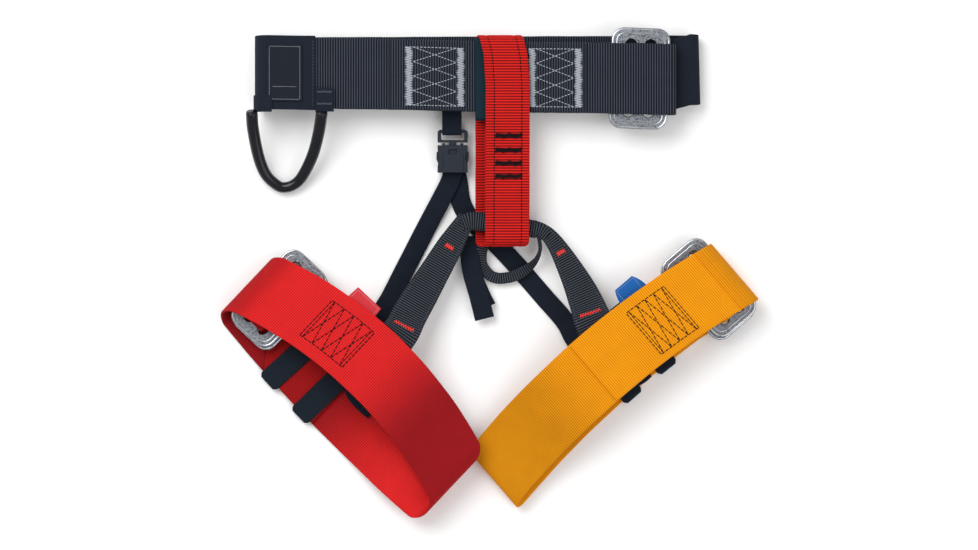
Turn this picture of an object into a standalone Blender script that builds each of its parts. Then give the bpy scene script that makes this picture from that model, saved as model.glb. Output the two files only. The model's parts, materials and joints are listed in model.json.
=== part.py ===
"""Tree climbing saddle: waist belt, tie-in loop, leg bridge, risers and two leg loops, laid out flat.

The harness lies on a surface at z = 0 with its front side up.  +X runs to the wearer's left side,
+Y runs up towards the waist belt, and +Z is out of the surface.  Sizes are in metres.
"""
import math

import bmesh
import bpy
import numpy as np

# ---- webbing, clearances and shared levels
WEB = 0.0024             # thickness of the load-bearing webbing
GAP = 0.0004             # air left between layers that touch
BAND_WIDTH = 0.075       # leg webbing
BELT_WIDTH = 0.072       # waist webbing
LOOP_WIDTH = 0.045       # tie-in loop webbing
STRAP_WIDTH = 0.020      # rear risers and buckle strap
ELASTIC = 0.0012         # keepers
KEEPER_ROOM = 0.0005     # air inside a keeper
LAYER = WEB + GAP        # one layer of webbing on the next

# ---- waist belt
BELT_LEFT = -0.238       # outer face of the left fold
BELT_RIGHT = 0.191       # outer face of the right fold
BELT_LEFT_Y = 0.2045     # centre line of the front band at the left fold
BELT_RIGHT_Y = 0.197     # and at the right fold
REAR_LEFT_Y = 0.2065     # centre line of the rear band
REAR_RIGHT_Y = 0.2085
BELT_FRONT_Z = 0.0362    # middle of the front band's thickness
BELT_DIP = 0.0098        # how far the front band sinks under the tie-in loop
BELT_DIP_X = 0.010
BELT_DIP_HALF = 0.100
LEFT_FOLD_DEPTH = 0.010
FRONT_LAYER_LEFT = -0.101
FRONT_LAYER_RIGHT = 0.098
SLEEVE_RIGHT = -0.1765   # right edge of the smooth cover at the left fold
SLEEVE_THICK = 0.0012
LABEL_THICK = 0.0009
LABEL_LEFT = -0.2255
LABEL_RIGHT = -0.190
LABEL_HEIGHT = 0.058
WEAR_LEFT = -0.014       # wear sleeve under the tie-in loop
WEAR_RIGHT = 0.036
WEAR_THICK = 0.0010
WEAR_DROP = 0.0085       # how far the wear sleeve hangs below the belt
WEAR_RISE = 0.0036       # and stands above it
BELT_END_RIGHT = 0.216   # outer face of the smooth end strap's fold
BELT_END_FOLD_DEPTH = 0.008
END_LEAN = math.radians(1.5)

# ---- double plate buckles
PLATE = 0.0030
PLATE_ROOM = 0.0006
PLATE_RADIUS = 0.013
SLOT_LENGTH = 0.080
WAIST_PLATE = (0.060, 0.103)
WAIST_SLOT_PITCH = 0.020
WAIST_SLOT_WIDTH = 0.0120
WAIST_BUCKLE_X = 0.1535
WAIST_BUCKLE_Y = 0.1985
WAIST_LEAN = math.radians(-2.3)
LEG_PLATE = (0.055, 0.100)
LEG_SLOT_PITCH = 0.019
LEG_SLOT_WIDTH = 0.0112
PLATE_LIFT = 0.0070      # air between the leg tail and its frame plate

# ---- gear loop
TUBE_RADIUS = 0.0062
GEAR_END_Z = 0.0412
GEAR_Y = 0.1652          # the gear loop's swing axis, at the belt's lower edge

# ---- tie-in loop and leg bridge
LOOP_X = 0.0165          # centre of the front strand
LOOP_BACK_X = 0.0070     # centre of the back strand
LOOP_BOTTOM_Y = 0.027
LOOP_RADIUS = 0.0090     # middle of the webbing at the loop's ends
LOOP_RISE = 0.0056       # how far the loop stands above the belt
LOOP_LEVEL = (0.150, 0.085)   # Y where the front strand starts to fall, and where it bends down
LOOP_FALL = 0.0006       # how far it falls between them
BRIDGE_Z = 0.0225
BRIDGE_HEIGHT = 0.0200   # along Y
BRIDGE_THICK = 0.0076
TACK_THICK = 0.0008
TACK_HEIGHT = 0.0070
TACK_WIDTH = 0.028
TACK_Y = (0.1396, 0.1250, 0.1114, 0.0984)

# ---- rear riser buckle
BUCKLE_X = -0.0373
BUCKLE_WIDTH = 0.031
SOCKET_TOP = 0.1310
SOCKET_BOTTOM = 0.1030
SHELL = 0.0016
CAVITY = 0.0048
PRONG_ARM = 0.0030
PRONG_X = 0.0095         # prong pivots, each side of the buckle's centre
PRONG_Y = 0.1330
PRONG_ROOM = 0.0004

# ---- leg loops: outer and inner fold midpoints of the front band, and how the two bands lie
# each leg: folds' midpoints, sideways bow and lean of each band, heights, then what sits on it along u
RIGHT_LEG = {"side": "right", "outer": (-0.2440, -0.0080), "inner": (-0.0303, -0.2098), "up": 1,
             "bow_front": 0.0258, "bow_rear": -0.0070, "lean_outer": 0.014, "lean_inner": 0.026,
             "rise": 0.0100, "inner_low": 0.0166, "inner_high": 0.0330,
             "buckle": (0.0335, 0.0070), "keepers": (0.0870, 0.1330), "tail_end": 0.1455,
             "overlap": (0.055, 0.165), "overlap_side": -1, "riser_layers": 2}
LEFT_LEG = {"side": "left", "outer": (0.2515, 0.0020), "inner": (0.0030, -0.2110), "up": -1,
            "bow_front": 0.016, "bow_rear": 0.013, "lean_outer": 0.001, "lean_inner": 0.005,
            "rise": 0.0040, "inner_low": 0.0, "inner_high": 0.0135,
            "buckle": (0.0310, 0.0042), "keepers": (0.1146, 0.1625), "tail_end": 0.1755,
            "overlap": (0.022, 0.178), "overlap_side": 1, "riser_layers": 1}
LEG_FOLD_HEIGHT = 0.033  # between the middles of the two bands at the outer fold
LEG_FOLD_DEPTH = 0.010
LEG_RAMP = (0.60, 0.93)  # where along a leg loop its inner end's own heights come in
KEEPER_LENGTH = 0.024

# ---- where the risers and rear straps cross from the belt side to the leg side
RIGHT_FOLD = {"point": (-0.062, -0.010), "across": (0.680, 0.733)}
LEFT_FOLD = {"point": (0.096, -0.018), "across": (-0.658, 0.753)}
SPLIT_Z = 0.0240         # middle of both risers at the crossing
SPLIT_GAP = 0.0004

REAR_Z = ELASTIC + KEEPER_ROOM + WEB / 2
TAIL_Z = REAR_Z + LAYER
LEG_FRONT_Z = REAR_Z + LEG_FOLD_HEIGHT
HEM_Z = BELT_FRONT_Z - 2 * LAYER - 2 * PLATE - 3 * PLATE_ROOM
END_UPPER_Z = HEM_Z - LAYER - PLATE_ROOM
END_LOWER_Z = WEB / 2 + LAYER
OVER_BAR_Z = BELT_FRONT_Z - LAYER - 0.0002
WAIST_SLIDER_Z = OVER_BAR_Z - WEB / 2 - PLATE_ROOM - PLATE / 2
WAIST_FRAME_Z = WAIST_SLIDER_Z - PLATE - PLATE_ROOM


# ---------------------------------------------------------------- shapes shared by all pieces

def material(name, colour, roughness, metallic=0.0):
    made = bpy.data.materials.get(name) or bpy.data.materials.new(name)
    made.use_nodes = True
    shader = made.node_tree.nodes["Principled BSDF"]
    shader.inputs["Base Color"].default_value = (*colour, 1.0)
    shader.inputs["Roughness"].default_value = roughness
    shader.inputs["Metallic"].default_value = metallic
    return made


def add_object(name, vertices, faces, finish):
    mesh = bpy.data.meshes.new(name)
    mesh.from_pydata([tuple(v) for v in vertices], [], faces)
    bm = bmesh.new()
    bm.from_mesh(mesh)
    bmesh.ops.recalc_face_normals(bm, faces=bm.faces)
    bm.to_mesh(mesh)
    bm.free()
    mesh.shade_smooth()
    mesh.set_sharp_from_angle(angle=math.radians(40))
    mesh.materials.append(finish)
    made = bpy.data.objects.new(name, mesh)
    bpy.context.scene.collection.objects.link(made)
    return made


def spline(points, count):
    """Catmull-Rom curve through the points, evenly spaced by length."""
    p = np.array(points, float)
    ends = np.vstack([2 * p[0] - p[1], p, 2 * p[-1] - p[-2]])
    t = np.linspace(0, 1, 16, endpoint=False)[:, None]
    runs = []
    for a, b, c, d in zip(ends[:-3], ends[1:-2], ends[2:-1], ends[3:]):
        runs.append(0.5 * (2 * b + (c - a) * t + (2 * a - 5 * b + 4 * c - d) * t ** 2
                           + (3 * b - a - 3 * c + d) * t ** 3))
    dense = np.vstack(runs + [p[-1:]])
    length = np.r_[0, np.cumsum(np.linalg.norm(np.diff(dense, axis=0), axis=1))]
    wanted = np.linspace(0, length[-1], count)
    return np.stack([np.interp(wanted, length, dense[:, k]) for k in range(p.shape[1])], axis=1)


def rounded(points, radius, steps=4):
    """Straight runs between the points, with each inner corner turned on an arc."""
    p = np.array(points, float)
    out = [p[0]]
    for before, corner, after in zip(p[:-2], p[1:-1], p[2:]):
        a = (before - corner) / np.linalg.norm(before - corner)
        b = (after - corner) / np.linalg.norm(after - corner)
        half = math.acos(np.clip(np.dot(a, b), -1, 1)) / 2
        middle = (a + b) / np.linalg.norm(a + b)
        centre = corner + middle * radius / math.sin(half)
        start = corner + a * radius / math.tan(half) - centre
        finish = corner + b * radius / math.tan(half) - centre
        sweep = math.pi - 2 * half
        for k in range(steps + 1):
            s = sweep * k / steps
            out.append(centre + (start * math.sin(sweep - s) + finish * math.sin(s)) / math.sin(sweep))
    out.append(p[-1])
    return np.array(out)


def half_turn(x, z, depth, half_height, side, steps=7):
    """Half an ellipse in (x, z) from the top to the bottom, bulging to the given side."""
    a = np.linspace(math.pi / 2, -math.pi / 2, steps)
    return np.stack([x + side * depth * np.cos(a), z + half_height * np.sin(a)], axis=1)


def ribbon(name, path, across, width, thickness, finish, closed=False):
    """A flat strip: a rectangle of width by thickness carried along the path."""
    p = np.array(path, float)
    across = np.broadcast_to(np.array(across, float), p.shape)
    across = across / np.linalg.norm(across, axis=1)[:, None]
    width = np.broadcast_to(np.array(width, float), (len(p),))[:, None]
    if closed:
        tangent = np.roll(p, -1, axis=0) - np.roll(p, 1, axis=0)
    else:
        tangent = np.gradient(p, axis=0)
    normal = np.cross(tangent, across)
    normal = normal / np.linalg.norm(normal, axis=1)[:, None]
    side, up = across * width / 2, normal * thickness / 2
    ring = np.stack([p - side - up, p + side - up, p + side + up, p - side + up], axis=1)
    vertices = ring.reshape(-1, 3)
    count = len(p)
    faces = []
    for k in range(count if closed else count - 1):
        here, there = 4 * k, 4 * ((k + 1) % count)
        faces += [(here + j, here + (j + 1) % 4, there + (j + 1) % 4, there + j) for j in range(4)]
    if not closed:
        faces += [(0, 1, 2, 3), tuple(4 * count - 4 + j for j in (3, 2, 1, 0))]
    return add_object(name, vertices, faces, finish)


def tube(name, path, radius, flat, finish, sides=10):
    """An oval section carried along the path; flat is its height in Z over its width."""
    p = np.array(path, float)
    tangent = np.gradient(p, axis=0)
    side = np.cross(tangent, (0, 0, 1))
    side = side / np.linalg.norm(side, axis=1)[:, None]
    up = np.cross(side, tangent)
    up = up / np.linalg.norm(up, axis=1)[:, None]
    a = np.linspace(0, 2 * math.pi, sides, endpoint=False)[None, :, None]
    ring = p[:, None] + radius * (side[:, None] * np.cos(a) + up[:, None] * flat * np.sin(a))
    faces = []
    for k in range(len(p) - 1):
        faces += [(sides * k + j, sides * k + (j + 1) % sides, sides * (k + 1) + (j + 1) % sides,
                   sides * (k + 1) + j) for j in range(sides)]
    last = sides * (len(p) - 1)
    faces += [tuple(range(sides)), tuple(last + j for j in reversed(range(sides)))]
    return add_object(name, ring.reshape(-1, 3), faces, finish)


def slab(name, outline, holes, low, high, finish, place=None):
    """A flat outline with holes, filled and extruded from the low to the high level."""
    bm = bmesh.new()
    edges = []
    for loop in [outline] + list(holes):
        corners = [bm.verts.new((x, y, low)) for x, y in loop]
        edges += [bm.edges.new((a, b)) for a, b in zip(corners, corners[1:] + corners[:1])]
    bmesh.ops.triangle_fill(bm, use_beauty=True, use_dissolve=False, edges=edges)
    raised = bmesh.ops.extrude_face_region(bm, geom=list(bm.faces))
    moved = [v for v in raised["geom"] if isinstance(v, bmesh.types.BMVert)]
    bmesh.ops.translate(bm, verts=moved, vec=(0, 0, high - low))
    bm.verts.index_update()
    vertices = [place(*v.co) if place else tuple(v.co) for v in bm.verts]
    faces = [tuple(v.index for v in face.verts) for face in bm.faces]
    bm.free()
    return add_object(name, vertices, faces, finish)


def rounded_rectangle(width, height, radius, steps=4, centre=(0.0, 0.0)):
    points = []
    for k, (sx, sy) in enumerate([(1, 1), (-1, 1), (-1, -1), (1, -1)]):
        for j in range(steps + 1):
            a = math.pi / 2 * (k + j / steps)
            points.append((centre[0] + sx * (width / 2 - radius) + radius * math.cos(a),
                           centre[1] + sy * (height / 2 - radius) + radius * math.sin(a)))
    return points


def buckle_plate(name, size, pitch, slot_width, z, place, finish):
    """One plate of a double plate buckle: a rounded rectangle with two long slots side by side."""
    slots = [rounded_rectangle(slot_width, SLOT_LENGTH, slot_width / 2 - 1e-5, 4, (s * pitch / 2, 0.0))
             for s in (-1, 1)]
    return slab(name, rounded_rectangle(*size, PLATE_RADIUS), slots, z - PLATE / 2, z + PLATE / 2,
                finish, place)


# ---------------------------------------------------------------- waist belt

def front_y(x):
    share = (x - BELT_LEFT) / (BELT_RIGHT - BELT_LEFT)
    return BELT_LEFT_Y + (BELT_RIGHT_Y - BELT_LEFT_Y) * share


def rear_y(x):
    share = (x - BELT_LEFT) / (BELT_END_RIGHT - BELT_LEFT)
    return REAR_LEFT_Y + (REAR_RIGHT_Y - REAR_LEFT_Y) * share


def front_z(x):
    """The front band's middle, with a smooth sag where the tie-in loop pulls it down."""
    away = np.clip(np.abs(x - BELT_DIP_X) / BELT_DIP_HALF, 0, 1)
    return BELT_FRONT_Z - BELT_DIP * 0.5 * (1 + np.cos(math.pi * away))


def belt_path(offset=0.0, start=None, stop=None, count=26):
    """Stations (x, y, z) along the front band, lifted by offset."""
    x = np.linspace(start, stop, count)
    return np.stack([x, front_y(x), front_z(x) + offset], axis=1)


def belt_webbing(finish):
    right_fold = (BELT_FRONT_Z - HEM_Z) / 2
    right_depth = 0.0045
    turn_x = BELT_RIGHT - WEB / 2 - right_depth
    left_x = BELT_LEFT + WEB / 2 + LEFT_FOLD_DEPTH
    hem_left = WAIST_BUCKLE_X + WAIST_SLOT_PITCH / 2 + WAIST_SLOT_WIDTH / 2 + 0.003
    hem = np.array([[hem_left, HEM_Z], [(hem_left + turn_x) / 2, HEM_Z]])
    right = half_turn(turn_x, BELT_FRONT_Z - right_fold, right_depth, right_fold, 1)[::-1]
    front = belt_path(0, turn_x - 0.004, left_x + 0.004, 28)
    low = WEB / 2
    left = half_turn(left_x, (BELT_FRONT_Z + low) / 2, LEFT_FOLD_DEPTH, (BELT_FRONT_Z - low) / 2, -1, 9)
    rear_x = np.linspace(left_x + 0.012, BELT_RIGHT - 0.004, 8)
    rear = np.stack([rear_x, rear_y(rear_x), np.full(8, low)], axis=1)
    hem = np.stack([hem[:, 0], front_y(hem[:, 0]), hem[:, 1]], axis=1)
    right = np.stack([right[:, 0], front_y(right[:, 0]), right[:, 1]], axis=1)
    share = np.linspace(0, 1, len(left))
    left_y = front_y(left[:, 0]) * (1 - share) + rear_y(left[:, 0]) * share
    left = np.stack([left[:, 0], left_y, left[:, 1]], axis=1)
    path = np.vstack([hem, right, front, left, rear])
    return ribbon("belt_webbing", path, (0, 1, 0), BELT_WIDTH, WEB, finish)


def belt_left_sleeve(finish):
    """A smooth cover on the outside of the left fold."""
    lift = WEB / 2 + GAP + SLEEVE_THICK / 2
    left_x = BELT_LEFT + WEB / 2 + LEFT_FOLD_DEPTH
    low = WEB / 2
    x = np.linspace(SLEEVE_RIGHT, left_x + 0.003, 6)
    front = np.stack([x, front_z(x) + lift], axis=1)
    turn = half_turn(left_x, (BELT_FRONT_Z + low) / 2, LEFT_FOLD_DEPTH + lift,
                     (BELT_FRONT_Z - low) / 2 + lift, -1, 11)
    keep = turn[turn[:, 1] > low + 0.004]
    flat = np.vstack([front, keep])
    path = np.stack([flat[:, 0], front_y(flat[:, 0]), flat[:, 1]], axis=1)
    return ribbon("belt_left_sleeve", path, (0, 1, 0), BELT_WIDTH + 0.0035, SLEEVE_THICK, finish)


def belt_label(finish):
    z = BELT_FRONT_Z + WEB / 2 + 2 * GAP + SLEEVE_THICK + LABEL_THICK / 2
    x = np.array([LABEL_LEFT, LABEL_RIGHT])
    path = np.stack([x, front_y(x) - 0.0005, np.full(2, z)], axis=1)
    return ribbon("belt_label", path, (0, 1, 0), LABEL_HEIGHT, LABEL_THICK, finish)


def stadium(y_low, y_high, z_low, z_high, steps=6):
    """A closed ring in (y, z) with half-round ends."""
    r = (z_high - z_low) / 2
    middle = (z_high + z_low) / 2
    top = [(y_high - r + r * math.sin(a), middle + r * math.cos(a)) for a in np.linspace(0, math.pi, steps)]
    low = [(y_low + r - r * math.sin(a), middle - r * math.cos(a)) for a in np.linspace(0, math.pi, steps)]
    return np.array(top + low)


def wear_sleeve(finish):
    x = (WEAR_LEFT + WEAR_RIGHT) / 2
    centre = front_y(x)
    z_low = BELT_FRONT_Z - BELT_DIP - WEB / 2 - 2 * GAP - WEAR_THICK / 2
    z_high = BELT_FRONT_Z - BELT_DIP + LAYER + WEB / 2 + 4 * GAP + WEAR_THICK / 2
    ring = stadium(centre - BELT_WIDTH / 2 - WEAR_DROP, centre + BELT_WIDTH / 2 + WEAR_RISE, z_low, z_high)
    path = np.stack([np.full(len(ring), x), ring[:, 0], ring[:, 1]], axis=1)
    return ribbon("wear_sleeve", path, (1, 0, 0), WEAR_RIGHT - WEAR_LEFT, WEAR_THICK, finish, closed=True)


def waist_place(x, y, z):
    """From the waist buckle's own axes to the harness."""
    c, s = math.cos(WAIST_LEAN), math.sin(WAIST_LEAN)
    return WAIST_BUCKLE_X + c * x - s * y, WAIST_BUCKLE_Y + s * x + c * y, z


def belt_end(finish):
    """The smooth strap on the rear band: folds back at the right and threads both plates."""
    fold = (END_UPPER_Z - END_LOWER_Z) / 2
    turn_x = BELT_END_RIGHT - WEB / 2 - BELT_END_FOLD_DEPTH
    turn = half_turn(turn_x, END_LOWER_Z + fold, BELT_END_FOLD_DEPTH, fold, 1, 7)[::-1]
    first = WAIST_BUCKLE_X + WAIST_SLOT_PITCH / 2
    second = WAIST_BUCKLE_X - WAIST_SLOT_PITCH / 2
    threaded = rounded([(turn_x - 0.006, END_UPPER_Z), (first, END_UPPER_Z), (first, OVER_BAR_Z),
                        (second, OVER_BAR_Z), (second, END_UPPER_Z), (second - 0.022, END_UPPER_Z)],
                       WEB / 2 + 0.0010)
    lower = np.array([[WAIST_BUCKLE_X - 0.010, END_LOWER_Z], [turn_x - 0.020, END_LOWER_Z]])
    flat = np.vstack([lower, turn, threaded])
    upper = flat[:, 1] > END_LOWER_Z + fold
    share = upper * np.clip((turn_x - flat[:, 0]) / (turn_x - first - WAIST_SLOT_WIDTH / 2), 0, 1)
    buckle_y = WAIST_BUCKLE_Y + (flat[:, 0] - WAIST_BUCKLE_X) * math.sin(WAIST_LEAN)
    y = rear_y(flat[:, 0]) * (1 - share) + buckle_y * share
    path = np.stack([flat[:, 0], y, flat[:, 1]], axis=1)
    lean = END_LEAN * (1 - share) + WAIST_LEAN * share
    across = np.stack([-np.sin(lean), np.cos(lean), np.zeros(len(lean))], axis=1)
    return ribbon("belt_end", path, across, BELT_WIDTH, WEB, finish)


def waist_buckle(finish):
    for name, z in (("waist_frame_plate", WAIST_FRAME_Z), ("waist_slider_plate", WAIST_SLIDER_Z)):
        buckle_plate(name, WAIST_PLATE, WAIST_SLOT_PITCH, WAIST_SLOT_WIDTH, z, waist_place, finish)


# ---------------------------------------------------------------- gear loop

def gear_loop(tube_finish, tab_finish):
    route = [(-0.2412, GEAR_Y - 0.0012), (-0.2405, 0.146), (-0.236, 0.1195), (-0.229, 0.101),
             (-0.2175, 0.090), (-0.210, 0.088), (-0.201, 0.0906), (-0.192, 0.099), (-0.181, 0.1195),
             (-0.174, 0.142), (-0.1698, GEAR_Y - 0.0012)]
    flat = spline(route, 30)
    low = TUBE_RADIUS + 0.0002
    share = (flat[:, 1] - flat[:, 1].min()) / (GEAR_Y - flat[:, 1].min())
    z = low + (GEAR_END_Z - low) * np.clip(share, 0, 1) ** 1.2
    tube("gear_loop_tube", np.column_stack([flat, z]), TUBE_RADIUS, 1.0, tube_finish, sides=12)
    top = BELT_FRONT_Z + WEB / 2 + SLEEVE_THICK + 2 * GAP
    ribbon("gear_tab_right", [(-0.1675, 0.1685, top + 0.0009), (-0.1675, 0.187, top + 0.0009)],
           (1, 0, 0), 0.019, 0.0018, tab_finish)
    ribbon("gear_tab_left", [(-0.2425, 0.1690, GEAR_END_Z - 0.002), (-0.2425, 0.191, GEAR_END_Z - 0.002)],
           (0, 0, 1), 0.010, 0.0024, tab_finish)


# ---------------------------------------------------------------- tie-in loop, bridge, accessory loop

def loop_levels():
    middle_top = BELT_FRONT_Z - BELT_DIP + LAYER / 2 + GAP
    return middle_top, BRIDGE_Z


def loop_ring():
    """The tie-in loop's route in (y, z): down the front strand, round the bridge, up behind."""
    top_z, low_z = loop_levels()
    r = LOOP_RADIUS
    top_y = front_y(LOOP_X) + BELT_WIDTH / 2 + LOOP_RISE - r
    low_y = LOOP_BOTTOM_Y + WEB / 2 + r
    a = np.linspace(0, math.pi, 9)
    over = np.stack([top_y + r * np.sin(a), top_z - r * np.cos(a)], axis=1)
    under = np.stack([low_y - r * np.sin(a), low_z + r * np.cos(a)], axis=1)
    flat_z = top_z + r - 0.0006
    front = np.array([[top_y - 0.012, top_z + r], [top_y - 0.042, flat_z], [LOOP_LEVEL[0], flat_z],
                      [LOOP_LEVEL[1], flat_z - LOOP_FALL], [low_y + 0.020, low_z + r + 0.0010]])
    back = np.array([[low_y + 0.020, low_z - r], [0.100, low_z - r + 0.0010],
                     [top_y - 0.040, top_z - r - 0.0010]])
    return np.vstack([over, front, under, back]), flat_z


def loop_x(z):
    top_z, low_z = loop_levels()
    share = np.clip((z - (low_z - LOOP_RADIUS)) / (top_z - low_z + 2 * LOOP_RADIUS), 0, 1)
    return LOOP_BACK_X + (LOOP_X - LOOP_BACK_X) * share


def attachment_loop(finish, thread):
    ring, flat_z = loop_ring()
    path = np.stack([loop_x(ring[:, 1]), ring[:, 0], ring[:, 1]], axis=1)
    ribbon("attachment_loop", path, (1, 0, 0), LOOP_WIDTH, WEB, finish, closed=True)
    x = loop_x(flat_z) + 0.0025
    for k, y in enumerate(TACK_Y, 1):
        fall = LOOP_FALL * (LOOP_LEVEL[0] - y) / (LOOP_LEVEL[0] - LOOP_LEVEL[1])
        z = flat_z - fall + WEB / 2 + GAP + TACK_THICK / 2
        ribbon("loop_bartack_%d" % k, [(x, y + TACK_HEIGHT / 2, z), (x, y - TACK_HEIGHT / 2, z)],
               (1, 0, 0), TACK_WIDTH, TACK_THICK, thread)


def leg_bridge(finish):
    route = [(-0.0235, 0.0525), (-0.003, 0.0520), (0.022, 0.0490), (0.042, 0.0450), (0.0535, 0.0430)]
    flat = spline(route, 10)
    path = np.column_stack([flat, np.full(len(flat), BRIDGE_Z)])
    tube("leg_bridge", path, BRIDGE_HEIGHT / 2, BRIDGE_THICK / BRIDGE_HEIGHT, finish, sides=12)


def accessory_loop(finish):
    route = [(0.0002, -0.0016, 0.0058), (0.0055, -0.0046, 0.0060), (0.0130, -0.0055, 0.0062),
             (0.0260, -0.0030, 0.0068), (0.0390, 0.0040, 0.0085), (0.0480, 0.0130, 0.0120),
             (0.0522, 0.0230, 0.0165), (0.0518, 0.0300, 0.0185)]
    path = spline(route, 16)
    tangent = np.gradient(path, axis=0)
    flat = np.cross((0, 0, 1), tangent)
    flat = flat / np.linalg.norm(flat, axis=1)[:, None]
    turn = np.clip((path[:, 0] - 0.028) / 0.024, 0, 1)[:, None] * math.pi / 2 * 0.85
    across = flat * np.cos(turn) + np.array([[0, 0, 1.0]]) * np.sin(turn)
    ribbon("accessory_loop", path, across, 0.0115, 0.0018, finish)


# ---------------------------------------------------------------- risers, rear straps and tails

def crossing(points, fold, keep):
    """Cut a route of (x, y, z) at the fold line and keep the belt side (1) or the leg side (-1)."""
    p = np.array(points, float)
    point, across = np.array(fold["point"]), np.array(fold["across"])
    distance = (p[:, :2] - point) @ across
    order = np.argsort(distance)
    inside = distance * keep > SPLIT_GAP
    level = keep * SPLIT_GAP / 2
    cut = np.array([np.interp(level, distance[order], p[order, k]) for k in range(3)])
    kept = p[inside]
    return np.vstack([kept, cut]) if keep > 0 else np.vstack([cut, kept])


def strap_pair(root_name, leg_name, route, fold, width_root, width_leg, finish, count=20):
    """One strap as two pieces that meet at the fold line, each square to that line."""
    full = spline(route, count)
    side = np.array([-fold["across"][1], fold["across"][0], 0.0])
    for name, keep, widths in ((root_name, 1, width_root), (leg_name, -1, width_leg)):
        path = crossing(full, fold, keep)
        tangent = np.gradient(path, axis=0)
        flat = np.cross((0, 0, 1), tangent)
        flat = flat / np.linalg.norm(flat, axis=1)[:, None]
        direction = side * np.sign(np.mean(flat @ side))
        away = np.linalg.norm(path[:, :2] - path[-1 if keep > 0 else 0, :2], axis=1)
        blend = np.clip(away / 0.018, 0, 1)[:, None]
        across = direction * (1 - blend) + flat * blend
        width = np.linspace(widths[0], widths[1], len(path))
        square = np.abs(np.sum(across / np.linalg.norm(across, axis=1)[:, None] * flat, axis=1))
        ribbon(name, path, across, width / square, WEB, finish)


def leg_point(leg, u, n, z):
    """Local (u along the leg loop, n across its webbing, z) to the harness, with its own shear."""
    outer, inner = np.array(leg["outer"]), np.array(leg["inner"])
    chord = inner - outer
    length = np.linalg.norm(chord)
    along = chord / length
    out = np.array([-along[1], along[0]]) * leg["up"]
    xy = outer + np.outer(np.atleast_1d(u), along) + np.outer(np.atleast_1d(n), out)
    return np.column_stack([xy, np.broadcast_to(z, len(xy))]), out


def leg_length(leg):
    return float(np.linalg.norm(np.array(leg["inner"]) - np.array(leg["outer"])))


def leg_shift(leg, u, w):
    """How far a band lies across the chord, from the rear band (w = 0) to the front band (w = 1)."""
    length = leg_length(leg)
    q = 4 * (u / length) * (1 - u / length)
    rear = leg["bow_rear"] * q - (leg["lean_outer"] + (leg["lean_inner"] - leg["lean_outer"]) * u / length)
    return w * leg["bow_front"] * q + (1 - w) * rear


def leg_ramp(leg, u):
    """0 along most of a leg loop, 1 at its inner end."""
    share = np.clip((u / leg_length(leg) - LEG_RAMP[0]) / (LEG_RAMP[1] - LEG_RAMP[0]), 0, 1)
    return share * share * (3 - 2 * share)


def leg_rear_z(leg, u):
    return REAR_Z + leg["inner_low"] * leg_ramp(leg, u)


def leg_front_z(leg, u):
    length = leg_length(leg)
    share = np.clip((u - LEG_FOLD_DEPTH) / (length - 2 * LEG_FOLD_DEPTH), 0, 1)
    base = LEG_FRONT_Z + (REAR_Z + leg["inner_high"] - LEG_FRONT_Z) * leg_ramp(leg, u)
    return base + leg["rise"] * np.sin(math.pi * share) ** 2


def risers(finish, thread):
    right_end = front_riser_end(RIGHT_LEG, 0.1490)
    right = [(-0.0312, 0.0435, BRIDGE_Z), (-0.042, 0.024, BRIDGE_Z + 0.0006), (-0.062, -0.010, SPLIT_Z),
             (-0.080, -0.041, SPLIT_Z + 0.0060)] + right_end
    strap_pair("right_riser_top", "right_riser_low", right, RIGHT_FOLD, (0.024, 0.034), (0.034, 0.040),
               finish)
    left_end = front_riser_end(LEFT_LEG, 0.1465)
    left = [(0.0600, 0.0395, BRIDGE_Z), (0.0720, 0.0235, BRIDGE_Z + 0.0006),
            (0.0890, -0.0075, SPLIT_Z - 0.0004), (0.0995, -0.0310, SPLIT_Z + 0.0035)] + left_end
    strap_pair("left_riser_top", "left_riser_low", left, LEFT_FOLD, (0.019, 0.033), (0.033, 0.042), finish)
    lift = WEB / 2 + GAP + TACK_THICK / 2
    for name, a, b in (("right_riser_bartack_top", (-0.0540, 0.0235), (-0.0440, 0.0145)),
                       ("left_riser_bartack_top", (0.0655, 0.0345), (0.0715, 0.0275))):
        top = BRIDGE_Z + 0.0014 + lift + 0.0006
        ribbon(name, [(*a, top), (*b, top)], (0, 0, 1), 0.0008, 0.0022, thread)


def front_riser_end(leg, u):
    """The last points of a riser, tucked under the front band's upper edge."""
    level = leg_front_z(leg, u) - leg["riser_layers"] * LAYER - GAP
    edge = BAND_WIDTH / 2 + float(leg_shift(leg, u, 1))
    points, _ = leg_point(leg, np.array([u, u]), np.array([edge + 0.006, edge - 0.020]), level)
    points[0, 2] -= 0.0008
    return [tuple(points[0]), tuple(points[1])]


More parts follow.
